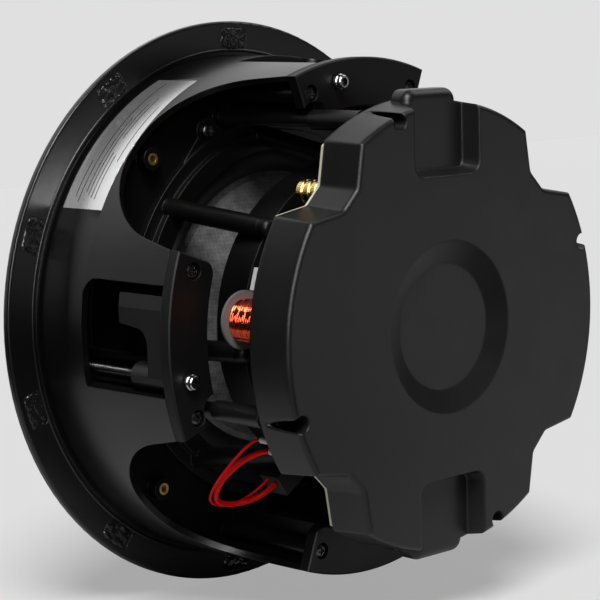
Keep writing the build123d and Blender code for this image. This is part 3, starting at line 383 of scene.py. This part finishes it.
def finish_label():
    """Silver film, faintly uneven."""
    label = Finish("label_film", grey(0.88), 0.24, metallic=0.85)
    label.color(label.noise(20 * MM), grey(0.84), grey(0.92))
    label.relief(label.noise(0.4 * MM), 0.004 * MM)
    label.round_edges(0.1 * MM)


def make_finishes():
    """All finishes, one for each of the record's material slots."""
    mouldings = {slot: moulded(slot, *values) for slot, values in MOULDINGS.items()}
    polish_outside(mouldings["frame_plastic"])
    metals = {slot: bare_metal(slot, *values) for slot, values in METALS.items()}
    lay_wires(metals["copper_wire"])
    for slot, values in CLOTHS.items():
        cloth(slot, *values)
    finish_capacitors()
    finish_leads()
    finish_board()
    finish_label()


# Mesh helpers


def ease(value):
    """Smooth step from 0 to 1."""
    value = min(max(value, 0.0), 1.0)
    return value * value * (3 - 2 * value)


def loose_parts(node):
    """Lowest and highest corner of each separate solid in a node, in a settled order."""
    shape = bmesh.new()
    shape.from_mesh(nodes[node].data)
    bmesh.ops.remove_doubles(shape, verts=shape.verts, dist=WELD)
    left = set(shape.verts)
    found = []
    while left:
        group = [left.pop()]
        for vertex in group:
            beside = {edge.other_vert(vertex) for edge in vertex.link_edges} & left
            left -= beside
            group.extend(beside)
        places = np.array([vertex.co for vertex in group])
        found.append((Vector(places.min(0)), Vector(places.max(0))))
    shape.free()
    return sorted(found, key=lambda box: math.atan2(box[0].y + box[1].y, box[0].x + box[1].x))


def ring(radius, height, sectors):
    """A level circle of points; the radius may depend on the angle."""
    points = []
    for step in range(sectors):
        angle = 2 * math.pi * step / sectors
        r = radius(angle) if callable(radius) else radius
        points.append(Vector((r * math.cos(angle), r * math.sin(angle), height)))
    return points


def lathe(profile, sectors):
    """A ring for each (radius, height) of a profile."""
    return [ring(radius, height, sectors) for radius, height in profile]


def capped(rings, corner):
    """The rings with a lid at each end, drawn together to one corner of the end's ring."""
    count = len(rings[0])
    return [[rings[0][corner]] * count, *rings, [rings[-1][corner]] * count]


class Shape:
    """Vertices and faces that grow piece by piece."""

    def __init__(self):
        self.points = []
        self.faces = []

    def skin(self, rings, place=Vector(), closed=False):
        """Adds the skin over successive rings; closed joins the last ring to the first."""
        count = len(rings[0])
        start = len(self.points)
        for row in rings:
            self.points.extend(point + place for point in row)
        for low in range(len(rings) if closed else len(rings) - 1):
            high = (low + 1) % len(rings)
            for step in range(count):
                beside = (step + 1) % count
                corners = ((low, step), (low, beside), (high, beside), (high, step))
                self.faces.append([start + row * count + column for row, column in corners])
        return self

    def piece(self, name, slot):
        """The shape as a smooth-shaded piece in a slot's finish."""
        mesh = bpy.data.meshes.new(name)
        mesh.from_pydata(self.points, [], self.faces)
        shape = bmesh.new()
        shape.from_mesh(mesh)
        bmesh.ops.remove_doubles(shape, verts=shape.verts, dist=WELD)
        bmesh.ops.recalc_face_normals(shape, faces=shape.faces)
        shape.to_mesh(mesh)
        shape.free()
        mesh.shade_smooth()
        mesh.set_sharp_from_angle(angle=SMOOTH_ANGLE)
        mesh.materials.append(bpy.data.materials[slot])
        made = bpy.data.objects.new(name, mesh)
        bpy.context.scene.collection.objects.link(made)
        return made


# Screws

CROSS_WIDTH = 1.1 * MM
CROSS_REACH = 2.1 * MM
CROSS_DEPTH = 1.3 * MM
CROSS_SOFTNESS = 0.3 * MM
HEAD_RINGS = 22
HEAD_SECTORS = 64
HEAD_CROWN = 0.42
HEAD_ROUNDNESS = 3
HEAD_HEIGHT = 2.4 * MM
SHANK_RADIUS = 1.5 * MM


def cross_recess(x, y):
    """Depth of a cross recess at a point of a screw's head."""
    across = min(abs(x), abs(y))
    along = max(abs(x), abs(y))
    inside = ease((CROSS_WIDTH / 2 - across) / CROSS_SOFTNESS + 0.5)
    return CROSS_DEPTH * inside * ease((CROSS_REACH - along) / CROSS_SOFTNESS)


def pan_head(radius):
    """Rings of a crowned head with a cross recess, from its middle to its seat."""
    rings = []
    for step in range(HEAD_RINGS + 1):
        share = step / HEAD_RINGS
        row = ring(radius * share, 0, HEAD_SECTORS)
        for point in row:
            crown = HEAD_HEIGHT * (1 - HEAD_CROWN * share**HEAD_ROUNDNESS)
            point.z = crown - cross_recess(point.x, point.y)
        rings.append(row)
    rings.append(ring(radius, 0, HEAD_SECTORS))
    rings.append(ring(SHANK_RADIUS, 0, HEAD_SECTORS))
    return rings


def cross_screws(node):
    """Cross-recess screws in place of a node's plain ones."""
    shape = Shape()
    for low, high in loose_parts(node):
        middle = (low + high) / 2
        place = Vector((middle.x, middle.y, high.z - HEAD_HEIGHT))
        rings = pan_head((high.x - low.x) / 2)
        tip = low.z - place.z
        rings += lathe([(SHANK_RADIUS, tip + SHANK_RADIUS), (0, tip)], HEAD_SECTORS)
        shape.skin(rings, place)
    made = shape.piece(f"{node}_crossed", "screw_black")
    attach(made, "speaker")
    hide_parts(node)


# Clamp screws

CLAMP_COUNT = 4
THREAD_PITCH = 1.25 * MM
THREAD_DEPTH = 0.42 * MM
THREAD_ROWS = 6
THREAD_SECTORS = 24
BOLT_RADIUS = 2.5 * MM
BOLT_HEAD_RADIUS = 4.6 * MM
BOLT_HEAD_HEIGHT = 3.2 * MM
BOLT_COLLAR_RADIUS = 3.6 * MM
BOLT_COLLAR_HEIGHT = 2.2 * MM
BOLT_TIP_RADIUS = 3.1 * MM
BOLT_TIP_HEIGHT = 2.0 * MM
BOLT_BEVEL = 0.4 * MM
SOCKET_RADIUS = 1.8 * MM
SOCKET_DEPTH = 3.0 * MM
SOCKET_CORNER = 1.2


def hexagon(angle):
    """Radius of a hexagonal socket at an angle."""
    return SOCKET_RADIUS / math.cos((angle + math.pi / 6) % (math.pi / 3) - math.pi / 6)


def helix(radius, depth, pitch, low, high, rows, sectors, section):
    """Rings of a helical surface; the section gives the share of the depth over one pitch."""
    rings = []
    count = round((high - low) / pitch * rows)
    for step in range(count + 1):
        height = low + (high - low) * step / count

        def surface(angle):
            return radius - depth * section((height / pitch - angle / (2 * math.pi)) % 1)

        rings.append(ring(surface, height, sectors))
    return rings


def vee(share):
    """Section of a thread."""
    return abs(2 * share - 1)


def clamp_screw(number):
    """Threaded clamp screw with a socket in its tip; its thread and socket are dark as painted
    shade.
    """
    node = f"clamp_screw_{number}"
    low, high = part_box(node)
    length = high.z - low.z
    collar_top = length - BOLT_TIP_HEIGHT
    collar_low = collar_top - BOLT_COLLAR_HEIGHT
    head = [
        (0, 0),
        (BOLT_HEAD_RADIUS - BOLT_BEVEL, 0),
        (BOLT_HEAD_RADIUS, BOLT_BEVEL),
        (BOLT_HEAD_RADIUS, BOLT_HEAD_HEIGHT),
        (BOLT_RADIUS, BOLT_HEAD_HEIGHT),
    ]
    tip = [
        (BOLT_RADIUS, collar_low),
        (BOLT_COLLAR_RADIUS - BOLT_BEVEL, collar_low),
        (BOLT_COLLAR_RADIUS, collar_low + BOLT_BEVEL),
        (BOLT_COLLAR_RADIUS, collar_top - BOLT_BEVEL),
        (BOLT_COLLAR_RADIUS - BOLT_BEVEL, collar_top),
        (BOLT_TIP_RADIUS, collar_top),
        (BOLT_TIP_RADIUS, length - BOLT_BEVEL),
        (BOLT_TIP_RADIUS - BOLT_BEVEL, length),
        (hexagon, length),
        (hexagon, length - SOCKET_DEPTH),
        (0, length - SOCKET_DEPTH),
    ]
    rings = lathe(head, THREAD_SECTORS)
    rings += helix(
        BOLT_RADIUS,
        THREAD_DEPTH,
        THREAD_PITCH,
        BOLT_HEAD_HEIGHT,
        collar_low,
        THREAD_ROWS,
        THREAD_SECTORS,
        vee,
    )
    rings += lathe(tip, THREAD_SECTORS)
    middle = (low + high) / 2
    shape = Shape().skin(rings, Vector((middle.x, middle.y, low.z)))
    made = shape.piece(f"{node}_threaded", "screw_zinc")
    # Painted shade: the thread below the collar and the socket in the tip take the black screw
    # finish, standing in for the pocket's shadow and the socket's dark recess
    made.data.materials.append(bpy.data.materials["screw_black"])
    for face in made.data.polygons:
        across = math.hypot(face.center.x - middle.x, face.center.y - middle.y)
        below = face.center.z < low.z + collar_low
        socket_painted_shade = across < SOCKET_CORNER * SOCKET_RADIUS and face.center.z < high.z - BOLT_BEVEL
        face.material_index = int(below or socket_painted_shade)
    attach(made, f"screw_{number}")
    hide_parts(node)


# Surround and spider

ROLL_SECTORS = 144
ROLL_STEPS = 20
SURROUND_SHEET = 0.8 * MM
SURROUND_LIP = 3.0 * MM
SURROUND_FLANGE = 7.0 * MM
SPIDER_SHEET = 0.8 * MM
SPIDER_FLANGE = 11.6 * MM
SPIDER_GLUE = 0.1 * MM
SPIDER_WAVES = 6
SPIDER_STEPS = 72


def sheet_of_revolution(name, slot, line, thickness):
    """A turned sheet under a line of (radius, height)."""
    under = [(radius, height - thickness) for radius, height in reversed(line)]
    made = Shape().skin(lathe(line + under, ROLL_SECTORS), closed=True).piece(name, slot)
    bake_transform(made)
    return made


def make_surround():
    """Rubber half roll between the cone's edge and the basket."""
    low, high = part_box("surround")
    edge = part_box("cone")[1].x
    outer = high.x - SURROUND_FLANGE
    middle = (edge + outer) / 2
    half = (outer - edge) / 2
    drop = high.z - low.z - SURROUND_SHEET
    line = [(edge - SURROUND_LIP, high.z)]
    for step in range(ROLL_STEPS + 1):
        turn = math.pi * step / ROLL_STEPS
        line.append((middle - half * math.cos(turn), high.z - drop * math.sin(turn)))
    line.append((high.x, high.z))
    made = sheet_of_revolution(
        "surround_roll", "surround_rubber", line, SURROUND_SHEET
    )
    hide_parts("surround")


def make_spider():
    """Corrugated cloth disc between the voice coil and the basket's cup."""
    low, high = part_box("spider")
    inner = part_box("voice_coil_former")[1].x + SPIDER_GLUE
    outer = high.x - SPIDER_FLANGE
    swing = (high.z - low.z - SPIDER_SHEET) / 2
    line = []
    for step in range(SPIDER_STEPS + 1):
        share = step / SPIDER_STEPS
        fall = swing * (1 - math.cos(2 * math.pi * SPIDER_WAVES * share))
        line.append((inner + share * (outer - inner), high.z - fall))
    line.append((high.x, high.z))
    made = sheet_of_revolution("spider_waves", "spider_cloth", line, SPIDER_SHEET)
    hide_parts("spider")


# Wound coils and binding posts

WIRE_PITCH = 1.1 * MM
WIRE_DEPTH = 0.45 * MM
WIRE_ROWS = 8
WIRE_SECTORS = 72
KNURL_COUNT = 36
KNURL_DEPTH = 0.08 * MM
POST_SECTORS = 144
POST_SPREAD = 1.25
POST_COLLARS = 3
POST_GROOVE = 1.0 * MM
POST_BEVEL = 0.3 * MM


def wire(share):
    """Section of round wires laid side by side."""
    return 1 - math.sqrt(1 - (2 * share - 1) ** 2)


def make_windings():
    """Copper windings on the inductors' bobbins."""
    shape = Shape()
    for low, high in loose_parts("inductor_windings"):
        radius = (high.x - low.x) / 2
        middle = (low + high) / 2
        rings = helix(
            radius, WIRE_DEPTH, WIRE_PITCH, low.z, high.z, WIRE_ROWS, WIRE_SECTORS, wire
        )
        shape.skin(rings, Vector((middle.x, middle.y, 0)))
    made = shape.piece("inductor_windings_wound", "copper_wire")
    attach(made, "speaker")
    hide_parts("inductor_windings")


def make_binding_posts():
    """Gilt posts with knurled collars."""
    shape = Shape()
    for low, high in loose_parts("binding_posts"):
        radius = POST_SPREAD * (high.x - low.x) / 2

        def knurled(angle):
            return radius - KNURL_DEPTH * (1 + math.cos(KNURL_COUNT * angle)) / 2

        pitch = (high.z - low.z) / POST_COLLARS
        neck = radius - POST_GROOVE
        profile = [(0, low.z), (neck, low.z)]
        for step in range(POST_COLLARS):
            base = low.z + step * pitch
            top = base + pitch - POST_GROOVE
            profile.append((neck, base))
            profile.append((radius - POST_BEVEL, base))
            profile.append((knurled, base + POST_BEVEL))
            profile.append((knurled, top - POST_BEVEL))
            profile.append((radius - POST_BEVEL, top))
            profile.append((neck, top))
        profile.append((neck, high.z))
        profile.append((0, high.z))
        middle = (low + high) / 2
        shape.skin(lathe(profile, POST_SECTORS), Vector((middle.x, middle.y, 0)))
    made = shape.piece("binding_posts_knurled", "post_gilt")
    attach(made, "speaker")
    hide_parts("binding_posts")


# Ends of the spokes and the leads' sleeves

SPOKE_COUNT = 8
SPOKE_RADIUS = 4.7 * MM
SPOKE_START = math.radians(6)
SPOKE_END_HEIGHT = 5.5 * MM
SPOKE_END_STEPS = 10
SPOKE_END_FULLNESS = 0.5
SPOKE_SECTORS = 40
SLEEVE_SHARE = 0.72
SLEEVE_BEVEL = 0.5 * MM


def make_spoke_ends():
    """Rounded ends of the basket's spokes over the back of its cup."""
    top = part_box("woofer_basket")[1].z
    places = [vertex.co for vertex in nodes["woofer_basket"].data.vertices]
    reach = max(math.hypot(place.x, place.y) for place in places if place.z > top - WELD)
    circle = reach - SPOKE_RADIUS
    root = -SPOKE_RADIUS / 2
    profile = [(0, root), (SPOKE_RADIUS, root)]
    for step in range(SPOKE_END_STEPS + 1):
        turn = math.pi / 2 * step / SPOKE_END_STEPS
        radius = SPOKE_RADIUS * math.cos(turn) ** SPOKE_END_FULLNESS
        profile.append((radius, SPOKE_END_HEIGHT * math.sin(turn)))
    rings = lathe(profile, SPOKE_SECTORS)
    shape = Shape()
    for step in range(SPOKE_COUNT):
        angle = SPOKE_START + 2 * math.pi * step / SPOKE_COUNT
        shape.skin(rings, Vector((circle * math.cos(angle), circle * math.sin(angle), top)))
    made = shape.piece("spoke_ends", "basket_cast")
    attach(made, "speaker")


def make_sleeves():
    """Round sleeves where the leads meet the board."""
    shape = Shape()
    for low, high in loose_parts("lead_sleeves"):
        radius = SLEEVE_SHARE * min(high.x - low.x, high.y - low.y) / 2
        profile = [
            (0, low.z),
            (radius - SLEEVE_BEVEL, low.z),
            (radius, low.z + SLEEVE_BEVEL),
            (radius, high.z),
            (0, high.z),
        ]
        middle = (low + high) / 2
        shape.skin(lathe(profile, SPOKE_SECTORS), Vector((middle.x, middle.y, 0)))
    made = shape.piece("lead_sleeves_round", "sleeve_plastic")
    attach(made, "speaker")
    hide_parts("lead_sleeves")


# Label lines, magnet seals and flange bead

LINE_WIDTH = 0.45 * MM
LINE_RELIEF = 0.03 * MM
LINE_STEPS = 24
LABEL_LINES = [
    (0.22, 0.07, 0.30),
    (0.33, 0.04, 0.96),
    (0.45, 0.10, 0.62),
    (0.53, 0.08, 0.74),
    (0.62, 0.07, 0.36),
    (0.62, 0.46, 0.80),
    (0.71, 0.06, 0.34),
    (0.84, 0.30, 0.72),
]
SEAL_LENGTH = 17.0 * MM
SEAL_WIDTH = 10.5 * MM
SEAL_HEIGHT = 1.1 * MM
SEAL_SINK = 0.2 * MM
SEAL_GRAIN = 2.6 * MM
SEAL_FINENESS = 3
SEAL_FINE_SHARE = 0.5
SEAL_SQUARENESS = 4
SEAL_STEEPNESS = 2
SEAL_WOBBLE = 0.6
SEAL_LEVEL = 0.6
SEAL_SWING = 0.4
SEAL_ROWS = 30
SEAL_COLUMNS = 46
BEAD_CIRCLE = 125.8 * MM
BEAD_RADIUS = 0.8 * MM
BEAD_SINK = 0.35 * MM
BEAD_STEPS = 12
BEAD_SECTORS = 240


def make_label_lines():
    """Plain ruled lines along the rating label, as (place across it, start and end along it)."""
    places = [vertex.co for vertex in nodes["rating_label"].data.vertices]
    radius = max(math.hypot(place.x, place.y) for place in places)
    angles = [math.atan2(place.y, place.x) for place in places]
    low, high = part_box("rating_label")
    shape = Shape()
    for across, start, end in LABEL_LINES:
        height = low.z + across * (high.z - low.z)
        rings = []
        for step in range(LINE_STEPS + 1):
            share = start + (end - start) * step / LINE_STEPS
            angle = max(angles) + share * (min(angles) - max(angles))
            outward = Vector((math.cos(angle), math.sin(angle), 0))
            middle = radius * outward + Vector((0, 0, height))
            rise = LINE_RELIEF * outward
            half = Vector((0, 0, LINE_WIDTH / 2))
            low_edge = [middle - rise - half, middle + rise - half]
            high_edge = [middle + rise + half, middle - rise + half]
            rings.append(low_edge + high_edge)
        shape.skin(capped(rings, 0))
    made = shape.piece("rating_label_lines", "frame_plastic")
    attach(made, "speaker")


def seal_height(share, side, place):
    """Height of a lumpy seal at a place with these shares of its half length and half width."""
    spread = 1 - share**SEAL_SQUARENESS - side**SEAL_SQUARENESS
    fine = noise.noise(place * SEAL_FINENESS / SEAL_GRAIN)
    lumps = noise.noise(place / SEAL_GRAIN) + SEAL_FINE_SHARE * fine
    within = ease(SEAL_STEEPNESS * spread + SEAL_WOBBLE * lumps)
    return SEAL_HEIGHT * within * (SEAL_LEVEL + SEAL_SWING * lumps) - SEAL_SINK


def make_magnet_seals():
    """Lumpy sealing compound over each magnet in the flange."""
    shape = Shape()
    for low, high in loose_parts("magnet_covers"):
        middle = (low + high) / 2
        middle.z = high.z
        outward = Vector((middle.x, middle.y, 0)).normalized()
        along = Vector((-outward.y, outward.x, 0))
        rings = []
        for row in range(SEAL_ROWS + 1):
            side = 2 * row / SEAL_ROWS - 1
            top = []
            under = []
            for column in range(SEAL_COLUMNS + 1):
                share = 2 * column / SEAL_COLUMNS - 1
                place = middle + (along * share * SEAL_LENGTH + outward * side * SEAL_WIDTH) / 2
                top.append(place + Vector((0, 0, seal_height(share, side, place))))
                under.append(place - Vector((0, 0, 2 * SEAL_SINK)))
            rings.append(top + under[::-1])
        shape.skin(capped(rings, -1))
    made = shape.piece("magnet_seals", "magnet_cover")
    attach(made, "speaker")


def make_flange_bead():
    """Fine bead along the edge of the groove between flange and collar."""
    profile = []
    for step in range(BEAD_STEPS):
        turn = 2 * math.pi * step / BEAD_STEPS
        radius = BEAD_CIRCLE + BEAD_RADIUS * math.cos(turn)
        profile.append((radius, BEAD_RADIUS * math.sin(turn) - BEAD_SINK))
    shape = Shape().skin(lathe(profile, BEAD_SECTORS), closed=True)
    made = shape.piece("flange_bead", "frame_plastic")
    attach(made, "speaker")


# Leads


def make_lead(name):
    """One red lead on a smooth curve through its route's bends."""
    curve = bpy.data.curves.new(f"{name}_line", "CURVE")
    curve.dimensions = "3D"
    curve.bevel_depth = LEAD_DIAMETERS[name] / 2
    curve.bevel_resolution = LEAD_ROUNDNESS
    curve.resolution_u = LEAD_STEPS
    curve.use_fill_caps = True
    route = LEAD_ROUTES[name]
    spline = curve.splines.new("NURBS")
    spline.points.add(len(route) - 1)
    for point, place in zip(spline.points, route):
        point.co = (*(Vector(place) * MM), 1)
    spline.order_u = LEAD_ORDER
    spline.use_endpoint_u = True
    curve.materials.append(bpy.data.materials["lead_red"])
    made = bpy.data.objects.new(f"{name}_cord", curve)
    bpy.context.scene.collection.objects.link(made)
    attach(made, "speaker")
    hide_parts(name)


# Camera, light and floor


def make_camera():
    """Camera at the photograph's place."""
    data = bpy.data.cameras.new("camera")
    data.lens = CAMERA_LENS
    data.sensor_width = CAMERA_SENSOR
    camera = bpy.data.objects.new("camera", data)
    bpy.context.scene.collection.objects.link(camera)
    back = (CAMERA_PLACE - CAMERA_AIM).normalized()
    right = Vector((0, 1, 0)).cross(back).normalized()
    turn = Matrix((right, back.cross(right), back)).transposed()
    turn = turn @ Matrix.Rotation(CAMERA_ROLL, 3, "Z")
    camera.matrix_world = Matrix.Translation(CAMERA_PLACE) @ turn.to_4x4()
    bpy.context.scene.camera = camera


def sheet(name, corners, material):
    """A flat sheet of the studio."""
    mesh = bpy.data.meshes.new(name)
    mesh.from_pydata(corners, [], [list(range(len(corners)))])
    mesh.materials.append(material)
    made = bpy.data.objects.new(name, mesh)
    bpy.context.scene.collection.objects.link(made)


def mixed(tree, share, first, second):
    """Output of a shader that runs from the first to the second with the share."""
    mix = tree.nodes.new("ShaderNodeMixShader")
    tree.links.new(share, mix.inputs["Fac"])
    tree.links.new(first, mix.inputs[1])
    tree.links.new(second, mix.inputs[2])
    return mix.outputs["Shader"]


def studio_shader(tree, kind, value):
    """Output of a grey shader of the studio."""
    node = tree.nodes.new(kind)
    node.inputs["Color"].default_value = (*grey(value), 1)
    return node.outputs[0]


def studio_material(name):
    """An empty material and its output's socket."""
    made = bpy.data.materials.new(name)
    made.use_nodes = True
    made.node_tree.nodes.clear()
    output = made.node_tree.nodes.new("ShaderNodeOutputMaterial")
    return made, made.node_tree, output.inputs["Surface"]


def floor_material():
    """Floor as pale as the backdrop, with a soft shadow, seen only from above."""
    made, tree, surface = studio_material("floor")
    glow = studio_shader(tree, "ShaderNodeEmission", FLOOR_GLOW)
    shade = studio_shader(tree, "ShaderNodeBsdfDiffuse", FLOOR_SHADE)
    pale = tree.nodes.new("ShaderNodeAddShader")
    tree.links.new(glow, pale.inputs[0])
    tree.links.new(shade, pale.inputs[1])
    bounce = studio_shader(tree, "ShaderNodeBsdfDiffuse", FLOOR_BOUNCE)
    rays = tree.nodes.new("ShaderNodeLightPath")
    above = mixed(tree, rays.outputs["Is Camera Ray"], bounce, pale.outputs["Shader"])
    side = tree.nodes.new("ShaderNodeNewGeometry")
    below = tree.nodes.new("ShaderNodeBsdfTransparent")
    shown = mixed(tree, side.outputs["Backfacing"], above, below.outputs["BSDF"])
    tree.links.new(shown, surface)
    return made


def wall_material():
    """Evenly lit backdrop."""
    made, tree, surface = studio_material("wall")
    pale = studio_shader(tree, "ShaderNodeEmission", BACKDROP_GREY)
    mirrored = studio_shader(tree, "ShaderNodeEmission", WALL_MIRRORED)
    dim = studio_shader(tree, "ShaderNodeEmission", WALL_BOUNCE)
    rays = tree.nodes.new("ShaderNodeLightPath")
    other = mixed(tree, rays.outputs["Is Glossy Ray"], dim, mirrored)
    tree.links.new(mixed(tree, rays.outputs["Is Camera Ray"], other, pale), surface)
    return made


def make_world():
    """Dim room that the camera sees as pale as the backdrop."""
    world = bpy.data.worlds.new("world")
    world.use_nodes = True
    tree = world.node_tree
    tree.nodes.clear()
    room = studio_shader(tree, "ShaderNodeBackground", WORLD_GLOW)
    pale = studio_shader(tree, "ShaderNodeBackground", BACKDROP_GREY)
    rays = tree.nodes.new("ShaderNodeLightPath")
    output = tree.nodes.new("ShaderNodeOutputWorld")
    shown = mixed(tree, rays.outputs["Is Camera Ray"], room, pale)
    tree.links.new(shown, output.inputs["Surface"])
    bpy.context.scene.world = world


def make_lamp(name, kind, place, aim, energy):
    """A lamp at a place, turned to a point."""
    lamp = bpy.data.objects.new(name, bpy.data.lights.new(name, kind))
    lamp.data.energy = energy
    bpy.context.scene.collection.objects.link(lamp)
    lamp.location = place
    lamp.rotation_mode = "QUATERNION"
    lamp.rotation_quaternion = (aim - place).to_track_quat("-Z", "Y")
    return lamp


def soft_box(name, place, aim, energy, width, height):
    """A rectangular area lamp."""
    lamp = make_lamp(name, "AREA", Vector(place), Vector(aim), energy)
    lamp.data.shape = "RECTANGLE"
    lamp.data.size = width
    lamp.data.size_y = height
    return lamp


def make_studio():
    """Floor, backdrop, room and lamps."""
    far = STUDIO_SIZE
    low = cad_low.y
    deep = -WALL_DISTANCE
    left = FLOOR_LEFT
    front = FLOOR_FRONT
    ground = [(left, low, front), (far, low, front), (far, low, deep), (left, low, deep)]
    sheet("floor", ground, floor_material())
    side = WALL_LEFT
    backdrop = [(side, low, deep), (far, low, deep), (far, far, deep), (side, far, deep)]
    sheet("wall", backdrop, wall_material())
    make_world()
    sun = make_lamp("sun", "SUN", SUN_FROM, Vector(), SUN_STRENGTH)
    sun.data.angle = SUN_SPREAD
    for name, values in FILL_BOXES.items():
        soft_box(name, *values)
    for name, values in GLOSS_BOXES.items():
        soft_box(name, *values).visible_diffuse = False


make_finishes()
for name in ("cap_screws", "basket_screws", "cover_screws"):
    cross_screws(name)
for number in range(1, CLAMP_COUNT + 1):
    clamp_screw(number)
make_surround()
make_spider()
make_windings()
make_binding_posts()
make_spoke_ends()
make_sleeves()
make_label_lines()
make_magnet_seals()
make_flange_bead()
for name in LEAD_ROUTES:
    make_lead(name)
make_camera()
make_studio()
bpy.context.scene.view_settings.view_transform = "Standard"
